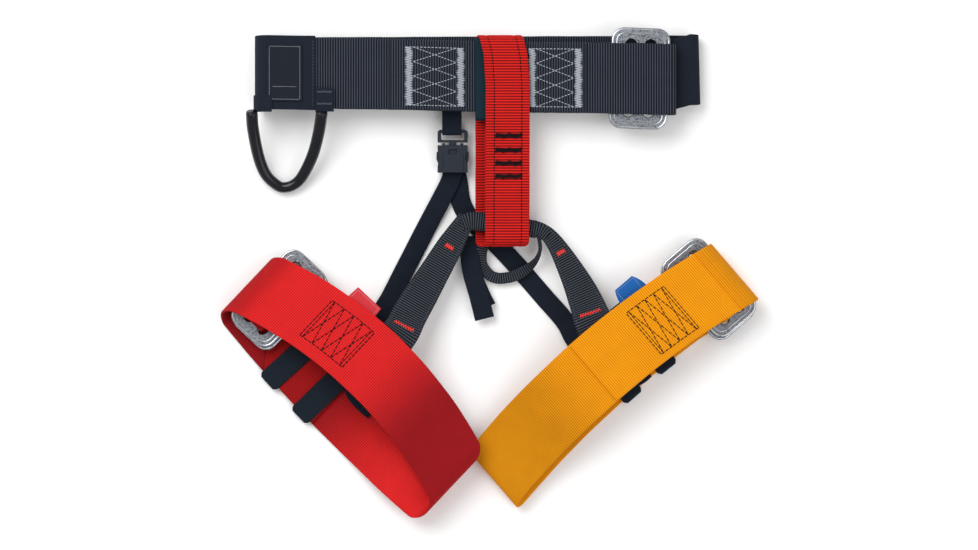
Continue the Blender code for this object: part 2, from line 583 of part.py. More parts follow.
def rear_straps(finish):
    low = WEB / 2 + 0.0003
    high = low + LAYER
    over_keeper = TAIL_Z + WEB / 2 + KEEPER_ROOM + ELASTIC + GAP + WEB / 2
    right_foot, _ = leg_point(RIGHT_LEG, np.array([0.1230, 0.1370, 0.1520, 0.1680, 0.1835]),
                              np.array([0.0480, 0.0150, 0.0000, -0.0055, -0.0060]),
                              np.array([0.0094, over_keeper, over_keeper, 0.0074, TAIL_Z]))
    right = [(-0.0345, 0.1120, high), (-0.0400, 0.0940, high), (-0.0495, 0.0750, high),
             (-0.0570, 0.0610, high - 0.0010), (-0.0670, 0.0420, low), (-0.0860, 0.0050, low),
             (-0.1030, -0.0280, low + 0.0020)]
    right += [tuple(p) for p in right_foot]
    strap_pair("right_rear_strap_top", "right_rear_strap_low", right, RIGHT_FOLD, (STRAP_WIDTH,) * 2,
               (STRAP_WIDTH,) * 2, finish, 30)
    left_foot, _ = leg_point(LEFT_LEG, np.array([0.1700, 0.1690]), np.array([0.0500, 0.0160]), over_keeper)
    left = [(-0.0360, 0.1120, low), (-0.0320, 0.0940, low), (-0.0285, 0.0720, low), (-0.0180, 0.0540, low),
            (-0.0010, 0.0385, low), (0.0120, 0.0255, low), (0.0300, 0.0060, low), (0.0560, -0.0240, low),
            (0.0780, -0.0495, low + 0.0018)]
    left += [tuple(p) for p in left_foot]
    strap_pair("left_rear_strap_top", "left_rear_strap_low", left, LEFT_FOLD, (STRAP_WIDTH,) * 2,
               (STRAP_WIDTH,) * 2, finish, 30)


def strap_tails(finish):
    low = WEB / 2 + 0.0003 + LAYER + WEB
    back = [(-0.0200, 0.0360), (-0.0170, 0.0000), (-0.0090, -0.0220), (-0.0022, -0.0355)]
    front = [(-0.0212, 0.0380), (-0.0180, 0.0050), (-0.0100, -0.0250), (-0.0045, -0.0470)]
    for name, route, z in (("strap_tail_back", back, low), ("strap_tail_front", front, low + LAYER)):
        flat = spline(route, 10)
        path = np.column_stack([flat, np.full(len(flat), z)])
        tangent = np.gradient(path, axis=0)
        ribbon(name, path, np.cross((0, 0, 1), tangent), STRAP_WIDTH, WEB, finish)


# ---------------------------------------------------------------- rear riser buckle

def riser_buckle(finish, webbing):
    z = WEB / 2 + 0.0001 + LAYER + WEB / 2 + PLATE_ROOM + SHELL + CAVITY / 2
    half = BUCKLE_WIDTH / 2
    low, high = z - CAVITY / 2 - SHELL, z + CAVITY / 2 + SHELL
    wall = SOCKET_BOTTOM + 0.0035
    section = [(SOCKET_BOTTOM, low), (SOCKET_TOP, low), (SOCKET_TOP, low + SHELL), (wall, low + SHELL),
               (wall, high - SHELL), (SOCKET_TOP, high - SHELL), (SOCKET_TOP, high), (SOCKET_BOTTOM, high)]
    slab("riser_socket", section, [], -half, half, finish, lambda a, b, c: (BUCKLE_X + c, a, b))
    inner = CAVITY - 2 * PRONG_ROOM
    bar_low = PRONG_Y + 0.0010
    bar_high = 0.1470
    frame = [(-half, bar_low), (-0.0040, bar_low), (-0.0040, 0.1120), (0.0040, 0.1120), (0.0040, bar_low),
             (half, bar_low), (half, bar_high - 0.002), (half - 0.002, bar_high), (-half + 0.002, bar_high),
             (-half, bar_high - 0.002)]
    slot = rounded_rectangle(0.0225, 0.0050, 0.0015, 2, (0.0, bar_high - 0.0055))
    place = lambda x, y, level: (BUCKLE_X + x, y, level)
    slab("riser_plug", frame, [slot], z - inner / 2, z + inner / 2, finish, place)
    for name, side in (("plug_prong_left", -1), ("plug_prong_right", 1)):
        arm = PRONG_ARM / 2
        outline = [(PRONG_X - arm, PRONG_Y + 0.0003), (PRONG_X - arm, 0.1092), (PRONG_X + 0.0010, 0.1074),
                   (half - 0.0010, 0.1110), (half + 0.0012, 0.1170), (half + 0.0010, 0.1240),
                   (half - 0.0025, 0.1262), (PRONG_X + arm, 0.1255), (PRONG_X + arm, PRONG_Y + 0.0003)]
        outline = [(side * x, y) for x, y in outline]
        slab(name, outline, [], z - inner / 2, z + inner / 2, finish, place)
    strap_y = bar_high - 0.0055
    route = rounded([(strap_y + 0.041, z + 0.0042), (strap_y, z + 0.0042), (strap_y, z - 0.0042),
                     (strap_y + 0.041, z - 0.0042)], 0.0017)
    path = np.column_stack([np.full(len(route), BUCKLE_X - 0.0008), route])
    ribbon("plug_strap", path, (1, 0, 0), STRAP_WIDTH, 0.0014, webbing)


# ---------------------------------------------------------------- leg loops

def leg_band(leg, finish):
    length = leg_length(leg)
    d = LEG_FOLD_DEPTH
    edge = WEB / 2
    u = np.linspace(edge + d + 0.004, length - edge - d - 0.004, 22)
    front = np.stack([u, leg_front_z(leg, u)], axis=1)
    inner_u, outer_u = length - edge - d, edge + d
    high, low = leg_front_z(leg, inner_u), leg_rear_z(leg, inner_u)
    inner = half_turn(inner_u, (high + low) / 2, d, (high - low) / 2, 1, 9)
    rear_u = np.linspace(inner_u - 0.008, outer_u + 0.008, 18)
    rear = np.stack([rear_u, leg_rear_z(leg, rear_u)], axis=1)
    outer = half_turn(outer_u, REAR_Z + LEG_FOLD_HEIGHT / 2, d, LEG_FOLD_HEIGHT / 2, -1, 9)[::-1]
    ring = np.vstack([front, inner, rear, outer])
    w = np.r_[np.ones(len(u)), (inner[:, 1] - low) / (high - low), np.zeros(len(rear_u)),
              (outer[:, 1] - REAR_Z) / LEG_FOLD_HEIGHT]
    path, out = leg_point(leg, ring[:, 0], leg_shift(leg, ring[:, 0], w), ring[:, 1])
    ribbon(leg["side"] + "_leg_band", path, (*out, 0), BAND_WIDTH, WEB, finish, closed=True)


def leg_overlap(leg, finish):
    u = np.linspace(*leg["overlap"], 12)
    z = leg_front_z(leg, u) + leg["overlap_side"] * LAYER
    path, out = leg_point(leg, u, leg_shift(leg, u, 1), z)
    ribbon(leg["side"] + "_leg_overlap", path, (*out, 0), BAND_WIDTH - 0.0006, WEB, finish)


def plate_levels():
    frame = TAIL_Z + WEB / 2 + PLATE_LIFT + PLATE / 2
    slider = frame + PLATE + PLATE_ROOM
    return frame, slider, slider + PLATE / 2 + PLATE_ROOM + WEB / 2


def leg_tail(leg, finish):
    """The strap's end: up and over both plates' middle bar, then along the rear band to its tip."""
    u0, n0 = leg["buckle"]
    over = plate_levels()[2]
    a, b = u0 - LEG_SLOT_PITCH / 2, u0 + LEG_SLOT_PITCH / 2
    route = rounded([(a - 0.008, TAIL_Z), (a, TAIL_Z), (a, over), (b, over), (b, TAIL_Z),
                     (b + 0.010, TAIL_Z)], WEB / 2 + 0.0010)
    run = np.linspace(b + 0.018, leg["tail_end"], 12)
    flat = np.vstack([route, np.column_stack([run, np.full(len(run), TAIL_Z)])])
    share = np.clip((flat[:, 0] - b - 0.004) / 0.030, 0, 1)
    share = share * share * (3 - 2 * share)
    n = n0 * (1 - share) + leg_shift(leg, flat[:, 0], 0) * share
    path, out = leg_point(leg, flat[:, 0], n, flat[:, 1])
    ribbon(leg["side"] + "_leg_tail", path, (*out, 0), BAND_WIDTH - 0.0006, WEB, finish)


def leg_plates(leg, finish):
    frame, slider, _ = plate_levels()
    u0, n0 = leg["buckle"]

    def place(x, y, z):
        return tuple(leg_point(leg, u0 + x, n0 + y, z)[0][0])

    for name, z in (("_frame_plate", frame), ("_slider_plate", slider)):
        buckle_plate(leg["side"] + name, LEG_PLATE, LEG_SLOT_PITCH, LEG_SLOT_WIDTH, z, place, finish)


def leg_keepers(leg, finish):
    """Elastic rings round the rear band and the tail lying on it."""
    half_width = BAND_WIDTH / 2 + KEEPER_ROOM + 0.0006
    low = REAR_Z - WEB / 2 - KEEPER_ROOM
    high = TAIL_Z + WEB / 2 + KEEPER_ROOM
    for k, u in enumerate(leg["keepers"], 1):
        step = 0.002
        drift = (leg_shift(leg, u + step, 0) - leg_shift(leg, u - step, 0)) / (2 * step)
        ring = stadium(-half_width - ELASTIC - 0.0022, half_width + ELASTIC + 0.0022,
                       low - ELASTIC / 2, high + ELASTIC / 2, 5)
        n = leg_shift(leg, u, 0) + ring[:, 0] / math.sqrt(1 + drift ** 2)
        path, out = leg_point(leg, u - drift * ring[:, 0], n, ring[:, 1])
        ahead, _ = leg_point(leg, np.array([u, u + step]), np.array([0.0, drift * step]), REAR_Z)
        ribbon("%s_keeper_%d" % (leg["side"], k), path, ahead[1] - ahead[0], KEEPER_LENGTH, ELASTIC,
               finish, closed=True)


def leg_tag(leg, outline, finish):
    """A thin tag that sticks out from under the front band's upper edge."""
    layers = 2 if leg["overlap_side"] < 0 else 1
    drop = layers * LAYER + WEB / 2 - GAP
    u = np.mean([point[0] for point in outline])
    level = float(leg_front_z(leg, u)) - drop - 0.0012

    def place(x, y, z):
        return tuple(leg_point(leg, x, y, level + z)[0][0])

    slab(leg["side"] + "_tag", outline, [], -0.0004, 0.0004, finish, place)


def leg_tack(leg, u_a, u_b, n_off, finish):
    """A bar of thread across the riser, just above the front band's edge."""
    shift = float(leg_shift(leg, (u_a + u_b) / 2, 1))
    n = BAND_WIDTH / 2 + shift + n_off
    top = SPLIT_Z + 0.0195 if leg["side"] == "right" else SPLIT_Z + 0.0165
    points, _ = leg_point(leg, np.array([u_a, u_b]), np.array([n, n + 0.001]), top)
    ribbon(leg["side"] + "_riser_bartack_low", points, (0, 0, 1), 0.0008, 0.0022, finish)


def main():
    for old in list(bpy.data.objects):
        bpy.data.objects.remove(old, do_unlink=True)
    navy = material("navy_webbing", (0.035, 0.045, 0.065), 0.8)
    smooth_navy = material("smooth_navy", (0.025, 0.032, 0.050), 0.6)
    teal = material("wear_cloth", (0.02, 0.05, 0.07), 0.7)
    red = material("red_webbing", (0.62, 0.03, 0.02), 0.7)
    dark_red = material("red_webbing_inner", (0.42, 0.02, 0.02), 0.7)
    yellow = material("yellow_webbing", (0.85, 0.42, 0.02), 0.7)
    metal = material("cast_plate", (0.62, 0.64, 0.66), 0.35, 1.0)
    plastic = material("buckle_plastic", (0.03, 0.035, 0.05), 0.5)
    gloss = material("gloss_tube", (0.01, 0.012, 0.018), 0.15)
    elastic = material("elastic", (0.03, 0.04, 0.055), 0.8)
    black_thread = material("black_thread", (0.02, 0.02, 0.02), 0.7)
    red_thread = material("red_thread", (0.70, 0.04, 0.03), 0.7)
    red_tag = material("red_tag", (0.65, 0.05, 0.06), 0.6)
    blue_tag = material("blue_tag", (0.02, 0.12, 0.45), 0.5)
    label = material("label_cloth", (0.03, 0.035, 0.045), 0.6)

    belt_webbing(navy)
    ribbon("belt_front_layer", belt_path(LAYER, FRONT_LAYER_LEFT, FRONT_LAYER_RIGHT, 20), (0, 1, 0),
           BELT_WIDTH - 0.0006, WEB, navy)
    belt_left_sleeve(smooth_navy)
    belt_label(label)
    wear_sleeve(teal)
    belt_end(smooth_navy)
    waist_buckle(metal)
    gear_loop(gloss, smooth_navy)
    attachment_loop(red, black_thread)
    leg_bridge(navy)
    accessory_loop(navy)
    risers(navy, red_thread)
    rear_straps(navy)
    strap_tails(navy)
    riser_buckle(plastic, navy)
    for leg, outside, inside in ((RIGHT_LEG, red, dark_red), (LEFT_LEG, yellow, yellow)):
        leg_band(leg, outside)
        leg_overlap(leg, outside)
        leg_tail(leg, inside)
        leg_plates(leg, metal)
        leg_keepers(leg, elastic)
    leg_tag(RIGHT_LEG, [(0.084, 0.050), (0.118, 0.050), (0.118, 0.0725), (0.086, 0.0700)], red_tag)
    leg_tag(LEFT_LEG, [(0.078, 0.038), (0.112, 0.038), (0.109, 0.0640), (0.100, 0.0662), (0.088, 0.0650)],
            blue_tag)
    leg_tack(RIGHT_LEG, 0.131, 0.157, 0.010, red_thread)
    leg_tack(LEFT_LEG, 0.134, 0.158, 0.010, red_thread)


main()
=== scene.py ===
import json
import math

import bpy
import numpy as np
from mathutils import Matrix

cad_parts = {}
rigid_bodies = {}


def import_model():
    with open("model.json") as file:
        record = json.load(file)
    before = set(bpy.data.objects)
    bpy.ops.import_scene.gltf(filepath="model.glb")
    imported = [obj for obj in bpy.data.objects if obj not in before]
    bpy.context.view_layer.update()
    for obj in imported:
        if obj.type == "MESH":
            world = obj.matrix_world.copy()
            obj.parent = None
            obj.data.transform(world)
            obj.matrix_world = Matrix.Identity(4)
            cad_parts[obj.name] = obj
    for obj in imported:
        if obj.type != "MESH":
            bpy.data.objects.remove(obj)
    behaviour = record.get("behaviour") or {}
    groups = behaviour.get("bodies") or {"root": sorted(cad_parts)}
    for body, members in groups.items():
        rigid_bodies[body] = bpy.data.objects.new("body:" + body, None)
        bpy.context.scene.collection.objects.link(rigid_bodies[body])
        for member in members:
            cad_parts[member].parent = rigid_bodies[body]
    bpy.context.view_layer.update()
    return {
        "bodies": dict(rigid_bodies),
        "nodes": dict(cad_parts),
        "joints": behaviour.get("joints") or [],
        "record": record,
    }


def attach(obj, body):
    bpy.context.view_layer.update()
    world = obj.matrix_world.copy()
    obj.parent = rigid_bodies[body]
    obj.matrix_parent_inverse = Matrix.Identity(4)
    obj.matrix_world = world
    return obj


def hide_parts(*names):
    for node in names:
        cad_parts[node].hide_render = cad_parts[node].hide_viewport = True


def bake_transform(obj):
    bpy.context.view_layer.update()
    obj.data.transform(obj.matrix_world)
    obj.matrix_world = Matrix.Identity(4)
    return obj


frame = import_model()
print("frame loaded:", len(frame["nodes"]), "nodes")

web = 0.0024          # webbing thickness
gap = 0.0004          # air between layers
layer = web + gap     # one layer of webbing on the next


# Catmull-Rom through the points, then evenly spaced by length: count stations.
def smoothRoute(points, count):
    p = np.array(points, float)
    ends = np.vstack([2 * p[0] - p[1], p, 2 * p[-1] - p[-2]])
    t = np.linspace(0, 1, 24, endpoint=False)[:, None]
    a, b, c, d = (ends[k:len(ends) - 3 + k, None] for k in range(4))
    dense = 0.5 * (2 * b + (c - a) * t + (2 * a - 5 * b + 4 * c - d) * t ** 2
                   + (3 * b - a - 3 * c + d) * t ** 3)
    return evenRoute(np.vstack([dense.reshape(-1, p.shape[1]), p[-1:]]), count)


# The same broken line, cut into count stations of equal length.
def evenRoute(points, count):
    p = np.array(points, float)
    length = np.r_[0, np.cumsum(np.linalg.norm(np.diff(p, axis=0), axis=1))]
    wanted = np.linspace(0, length[-1], count)
    return np.stack([np.interp(wanted, length, p[:, k]) for k in range(p.shape[1])], axis=1)


# A running average along the route, which turns corners into short bends.
def soften(p, reach, closed=False):
    if reach < 1:
        return p
    kernel = np.hanning(2 * reach + 3)[1:-1]
    kernel = kernel / kernel.sum()
    if closed:
        padded = np.vstack([p[-reach:], p, p[:reach]])
    else:
        before = 2 * p[0] - p[reach:0:-1]
        padded = np.vstack([before, p, 2 * p[-1] - p[-2:-reach - 2:-1]])
    return np.stack([np.convolve(padded[:, k], kernel, "valid") for k in range(p.shape[1])], axis=1)


# 0 up to t = 0, 1 from t = 1, and 3 t^2 - 2 t^3 between.
def smoothStep(t):
    t = np.clip(t, 0, 1)
    return t * t * (3 - 2 * t)


# Half an ellipse in (x, z): x + side * depth * cos a, z + half * sin a, top to bottom.
def halfTurn(x, z, depth, half, side, steps=17):
    a = np.linspace(math.pi / 2, -math.pi / 2, steps)
    return np.stack([x + side * depth * np.cos(a), z + half * np.sin(a)], axis=1)


# A ring with half-round ends: r sin a and r cos a round the middle of each end, r half its height.
def stadium(low, high, bottom, top, steps):
    r = (top - bottom) / 2
    a = np.linspace(0, math.pi, steps)
    return np.vstack([np.stack([high - r + r * np.sin(a), bottom + r + r * np.cos(a)], axis=1),
                      np.stack([low + r - r * np.sin(a), bottom + r - r * np.cos(a)], axis=1)])


# Up through one slot, over the middle bar at high and down through the other, with each corner cut.
def overBar(first, second, low, high):
    cut = 0.002
    step = math.copysign(cut, second - first)
    return [(first - step, low), (first, low + cut), (first, high - cut), (first + step, high),
            (second - step, high), (second, high - cut), (second, low + cut), (second + step, low)]


# Corner indices (loops) cut into faces of the given sizes; uv, if any, has one pair for each corner.
def addPiece(name, vertices, loops, sizes, material, uv=None):
    mesh = bpy.data.meshes.new(name)
    mesh.vertices.add(len(vertices))
    mesh.vertices.foreach_set("co", vertices.astype(np.float32).ravel())
    mesh.loops.add(len(loops))
    mesh.loops.foreach_set("vertex_index", loops.astype(np.int32))
    mesh.polygons.add(len(sizes))
    mesh.polygons.foreach_set("loop_start", np.r_[0, np.cumsum(sizes)[:-1]].astype(np.int32))
    mesh.update(calc_edges=True)
    if uv is not None:
        mesh.uv_layers.new(name="UVMap").data.foreach_set("uv", uv.astype(np.float32).ravel())
    faceOut(mesh)
    mesh.shade_smooth()
    mesh.materials.append(material)
    return linkPiece(name, mesh)


# An object in the scene for this mesh, curve, light or camera.
def linkPiece(name, data):
    piece = bpy.data.objects.new(name, data)
    bpy.context.scene.collection.objects.link(piece)
    return piece


# A grid of points (n along, m around, closed around) becomes quads, with a cap at each open end. alongUv
# and aroundUv are lengths in metres, one more value than points where that way closes, so the pattern
# meets itself without a jump.
def gridMesh(name, points, alongUv, aroundUv, material, closeAlong=False):
    n, m = points.shape[:2]
    ii, jj = np.meshgrid(np.arange(n if closeAlong else n - 1), np.arange(m), indexing="ij")
    corners = np.stack([(ii, jj), (ii + 1, jj), (ii + 1, jj + 1), (ii, jj + 1)], axis=0)
    index = (corners[:, 0] % n) * m + corners[:, 1] % m
    faces = index.transpose(1, 2, 0).reshape(-1, 4)
    uv = np.stack([aroundUv[corners[:, 1]], alongUv[corners[:, 0]]], axis=-1)
    uv = uv.transpose(1, 2, 0, 3).reshape(-1, 2)
    loops = faces.ravel()
    sizes = np.full(len(faces), 4)
    if not closeAlong:
        loops = np.concatenate([loops, np.arange(m), np.arange(m)[::-1] + (n - 1) * m])
        sizes = np.concatenate([sizes, [m, m]])
        capUv = np.stack([aroundUv[:m], np.zeros(m)], axis=1)
        uv = np.vstack([uv, capUv, capUv[::-1] + (0, alongUv[-1])])
    return addPiece(name, points.reshape(-1, 3), loops, sizes, material, uv)


# Signed volume by the divergence theorem; a negative one means that the faces point inwards.
def faceOut(mesh):
    mesh.calc_loop_triangles()
    triangles = np.empty(len(mesh.loop_triangles) * 3, np.int32)
    mesh.loop_triangles.foreach_get("vertices", triangles)
    co = np.empty(len(mesh.vertices) * 3, np.float32)
    mesh.vertices.foreach_get("co", co)
    a, b, c = co.reshape(-1, 3)[triangles.reshape(-1, 3)].astype(float).transpose(1, 0, 2)
    if np.einsum("ij,ij->i", a, np.cross(b, c)).sum() < 0:
        mesh.flip_normals()


# Rounded bar section as (x, y) in metres: two flat faces of flats points each, and half-round edges.
def strapSection(width, thickness, flats=11):
    half = width / 2 - thickness / 2
    x = np.linspace(-half, half, flats)
    if flats < 20:        # few of them, so they crowd towards the edges
        x = half * np.sin(math.pi / 2 * np.linspace(-1, 1, flats))
    a = np.linspace(-math.pi / 2, math.pi / 2, 7)[1:-1]
    right = np.stack([half + thickness / 2 * np.cos(a), thickness / 2 * np.sin(a)], axis=1)
    top = np.stack([x[::-1], np.full(flats, thickness / 2)], axis=1)
    bottom = np.stack([x, np.full(flats, -thickness / 2)], axis=1)
    return np.vstack([bottom, right, top, -right])


# Frames along a route: side is across at unit length, and normal = tangent x side, at unit length too, with
# the tangent taken from each point's neighbours.
def routeFrames(path, across, closed):
    if closed:
        tangent = np.roll(path, -1, axis=0) - np.roll(path, 1, axis=0)
    else:
        tangent = np.gradient(path, axis=0)
    tangent = tangent / np.linalg.norm(tangent, axis=1)[:, None]
    side = np.broadcast_to(np.array(across, float), path.shape)
    side = side / np.linalg.norm(side, axis=1)[:, None]
    normal = np.cross(tangent, side)
    normal = normal / np.linalg.norm(normal, axis=1)[:, None]
    return side, normal


# A woven strap: section point (x, y) at station s goes to path(s) + side * x * width(s) + normal * y, with
# ribs y += ribHeight * cos(2 pi s / ribPitch) on the flat faces, and grooves y -= 0.0005 exp(-((x - x0) /
# 0.0013)^2) where stitching pulls it in. Two values, 0..1 at each point of the path, become attributes: how
# far painted shade with a darker dye darkens it, and how far the ribs are worn smooth. Keeps its frames for
# stitching.
def strap(name, path, across, width, material, thickness=web, closed=False, ribHeight=0.00011,
          ribPitch=0.0022, reach=3, stations=None, grooves=(), flats=11, shadeAndDye=0.0, fade=0.0):
    length = np.linalg.norm(np.diff(path, axis=0), axis=1).sum()
    if closed:
        length += np.linalg.norm(path[0] - path[-1])
    count = stations or int(length / (ribPitch / 4))
    across = np.broadcast_to(np.array(across, float), np.shape(path))
    width = np.broadcast_to(np.array(width, float), (len(path),))[:, None]
    # painted shade with a darker dye, and worn smoothness, at each point of the path
    wear = np.stack([np.broadcast_to(shadeAndDye, len(path)), np.broadcast_to(fade, len(path))], axis=1)
    full = np.hstack([path, across, width, wear])
    if closed:
        full = np.vstack([full, full[:1]])
    steps = np.r_[0, np.cumsum(np.linalg.norm(np.diff(full[:, :3], axis=0), axis=1))]
    wanted = np.linspace(0, steps[-1], count + 1 if closed else count)
    full = np.stack([np.interp(wanted, steps, full[:, k]) for k in range(9)], axis=1)
    if closed:
        full = full[:-1]
    full = soften(full, reach, closed)
    centre, across, width, shadeAndDye, fade = full[:, :3], full[:, 3:6], full[:, 6], full[:, 7], full[:, 8]
    side, normal = routeFrames(centre, across, closed)
    base = float(np.max(width))
    section = strapSection(base, thickness, flats)
    flat = (np.abs(np.abs(section[:, 1]) - thickness / 2) < 1e-9) * 1.0
    along = np.linspace(0, steps[-1], len(centre) + 1) if closed else wanted
    s = along[:len(centre)]
    # a woven edge is never quite straight
    wobble = 1 + 0.0022 * np.sin(s * 61 + len(name)) + 0.0016 * np.sin(s * 137 + 2)
    x = section[None, :, 0] * (width / base * wobble)[:, None]
    rib = (ribHeight * (1 - fade) * np.cos(2 * math.pi * s / ribPitch))[:, None]
    groove = sum(0.0005 * np.exp(-((section[:, 0] - x0) / 0.0013) ** 2) for x0 in grooves)
    y = section[None, :, 1] + (rib - groove) * np.sign(section[None, :, 1]) * flat
    points = centre[:, None] + side[:, None] * x[..., None] + normal[:, None] * y[..., None]
    ring = np.r_[section[:, 0], section[0, 0]] + 1.0
    piece = gridMesh(name, points, along, ring, material, closeAlong=closed)
    for label, values in (("shadeAndDye", shadeAndDye), ("fade", fade)):
        if values.any():
            stored = piece.data.attributes.new(label, "FLOAT", "POINT")
            stored.data.foreach_set("value", np.repeat(values, len(section)).astype(np.float32))
    return {"piece": piece, "s": s, "centre": centre, "side": side, "normal": normal,
            "length": float(steps[-1]), "thickness": thickness, "width": width}


# A point on a strap's face: centre(s) + side(s) * w + normal(s) * (face * thickness / 2 + lift).
def onStrap(made, s, w, lift=0.0, face=1):
    def at(key):
        return np.stack([np.interp(s, made["s"], made[key][:, k]) for k in range(3)], axis=-1)
    normal = at("normal") * face
    point = at("centre") + at("side") * np.asarray(w)[..., None]
    return point + normal * (made["thickness"] / 2 + lift), normal


# The station of a strap nearest to a plane place (x, y), and its distance across, on the upper run.
def whereOn(made, x, y, above=None):
    flat = made["centre"][:, :2]
    away = np.linalg.norm(flat - (x, y), axis=1)
    if above is not None:
        away = away + 10 * (made["centre"][:, 2] < above)
    along = (np.array([x, y]) - flat)
    tangent = np.gradient(flat, axis=0)
    tangent = tangent / (np.linalg.norm(tangent, axis=1)[:, None] + 1e-9)
    off = np.abs(np.einsum("ij,ij->i", along, tangent)) + 10 * (away > 0.08)
    k = int(np.argmin(off))
    return made["s"][k], float(along[k] @ made["side"][k, :2])


# Each stitch is a short bead: radius * sin(pi t)^0.5 round the line from start to end, flattened to 0.6.
def stitches(name, body, starts, ends, normals, material, radius=0.00042, bend=None):
    starts, ends, normals = (np.asarray(v, float).reshape(-1, 3) for v in (starts, ends, normals))
    run = ends - starts
    length = np.linalg.norm(run, axis=1)
    keep = length > 1e-6
    starts, run, normals, length = starts[keep], run[keep], normals[keep], length[keep]
    direction = run / length[:, None]
    side = np.cross(normals, direction)
    side = side / np.linalg.norm(side, axis=1)[:, None]
    t = np.array([0.02, 0.2, 0.8, 0.98])
    sides, rows, count = 5, len(t), len(starts)
    size = radius * np.sqrt(np.sin(math.pi * t))
    a = np.linspace(0, 2 * math.pi, sides, endpoint=False)
    ring = (side[:, None, None] * np.cos(a)[None, None, :, None]
            + normals[:, None, None] * 0.6 * np.sin(a)[None, None, :, None])
    points = (starts[:, None, None] + run[:, None, None] * t[None, :, None, None]
              + ring * size[None, :, None, None])
    i, j = np.meshgrid(np.arange(rows - 1), np.arange(sides), indexing="ij")
    quad = np.stack([i * sides + j, i * sides + (j + 1) % sides, (i + 1) * sides + (j + 1) % sides,
                     (i + 1) * sides + j], axis=-1).reshape(-1, 4)
    first = sides * rows * np.arange(count)[:, None]        # each stitch's first point
    quads = (quad[None] + first[:, None]).reshape(-1)
    low = (np.arange(sides)[::-1][None] + first).reshape(-1)
    high = (np.arange(sides * (rows - 1), sides * rows)[None] + first).reshape(-1)
    sizes = np.r_[np.full(len(quad) * count, 4), np.full(2 * count, sides)]
    piece = addPiece(name, points.reshape(-1, 3), np.concatenate([quads, low, high]), sizes, material)
    if bend:
        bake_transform(piece)
    else:
        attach(piece, body)
    return piece


# Points of a line in (s, w) cut into stitches of one length with a small gap between them.
def stitchLine(made, points, stitch=0.0030, space=0.0007, lift=0.0, face=1):
    p = np.array(points, float)
    length = np.r_[0, np.cumsum(np.linalg.norm(np.diff(p, axis=0), axis=1))]
    count = max(1, int(length[-1] / (stitch + space)))
    a = np.arange(count) * length[-1] / count
    b = a + length[-1] / count - space
    start = [np.interp(a, length, p[:, k]) for k in range(2)]
    end = [np.interp(b, length, p[:, k]) for k in range(2)]
    first, normal = onStrap(made, start[0], start[1], lift, face)
    last, _ = onStrap(made, end[0], end[1], lift, face)
    return first, last, normal


# A bar of close zigzag: corners at s0 + pitch k / 2, alternating between the two edges of the bar.
def zigzag(made, start, end, half, pitch, lift=0.0, face=1):
    start, end = np.array(start, float), np.array(end, float)
    run = end - start
    length = np.linalg.norm(run)
    count = max(2, int(2 * length / pitch))
    t = np.linspace(0, 1, count + 1)
    square = np.array([-run[1], run[0]]) / length
    k = np.arange(count + 1)
    reach = half * (1 + 0.13 * np.sin(k * 2.7) + 0.07 * np.sin(k * 7.1)) * np.where(k % 2, 1, -1)
    corner = start + t[:, None] * run + square * reach[:, None]
    place, normal = onStrap(made, corner[:, 0], corner[:, 1], lift, face)
    return place[:-1], place[1:], normal[:-1]


# The starts, ends and normals of several runs of stitches, each in one array.
def gather(parts):
    return [np.concatenate([part[k] for part in parts]) for k in range(3)]


# A tube: ring radius(s) round the route, on frames with side = tangent x z.
def tubePiece(name, path, radius, material, flat=1.0, sides=20):
    tangent = np.gradient(path, axis=0)
    tangent = tangent / np.linalg.norm(tangent, axis=1)[:, None]
    side = np.cross(tangent, (0, 0, 1.0))
    side = side / np.linalg.norm(side, axis=1)[:, None]
    up = np.cross(side, tangent)
    a = np.linspace(0, 2 * math.pi, sides, endpoint=False)
    radius = np.broadcast_to(radius, (len(path),))[:, None, None]
    points = path[:, None] + radius * (side[:, None] * np.cos(a)[None, :, None]
                                       + up[:, None] * flat * np.sin(a)[None, :, None])
    along = np.r_[0, np.cumsum(np.linalg.norm(np.diff(path, axis=0), axis=1))]
    around = np.linspace(0, 2 * math.pi * float(radius.max()), sides + 1)
    return gridMesh(name, points, along, around, material)


# A flat outline with holes, given thickness and a rounded edge, then carried by place(x, y, z) arrays.
def moulded(name, outline, holes, low, high, edge, material, place):
    curve = bpy.data.curves.new(name, "CURVE")
    curve.dimensions = "2D"
    curve.fill_mode = "BOTH"
    curve.extrude = (high - low) / 2 - edge
    curve.bevel_depth = edge
    curve.bevel_resolution = 2
    curve.offset = -edge
    for loop in [outline] + list(holes):
        line = curve.splines.new("POLY")
        line.points.add(len(loop) - 1)
        flat = np.column_stack([np.array(loop, float), np.zeros(len(loop)), np.ones(len(loop))])
        line.points.foreach_set("co", flat.astype(np.float32).ravel())
        line.use_cyclic_u = True
    maker = linkPiece(name + "Outline", curve)
    bpy.context.view_layer.update()
    mesh = bpy.data.meshes.new_from_object(maker.evaluated_get(bpy.context.evaluated_depsgraph_get()))
    bpy.data.objects.remove(maker)
    bpy.data.curves.remove(curve)
    co = np.empty(len(mesh.vertices) * 3, np.float32)
    mesh.vertices.foreach_get("co", co)
    co = co.reshape(-1, 3).astype(float)
    co = place(co[:, 0], co[:, 1], co[:, 2] + (low + high) / 2)
    mesh.vertices.foreach_set("co", co.astype(np.float32).ravel())
    mesh.name = name
    mesh.materials.clear()
    mesh.materials.append(material)
    faceOut(mesh)
    mesh.shade_smooth()
    mesh.set_sharp_from_angle(angle=math.radians(50))
    return linkPiece(name, mesh)


# Corner arcs of radius r joined by straight sides.
def roundedOutline(width, height, r, centre=(0.0, 0.0), steps=7):
    k = np.arange(4)[:, None]
    a = (math.pi / 2 * (k + np.linspace(0, 1, steps)[None])).ravel()
    sx, sy = np.repeat([1, -1, -1, 1], steps), np.repeat([1, 1, -1, -1], steps)
    return np.stack([centre[0] + sx * (width / 2 - r) + r * np.cos(a),
                     centre[1] + sy * (height / 2 - r) + r * np.sin(a)], axis=1)


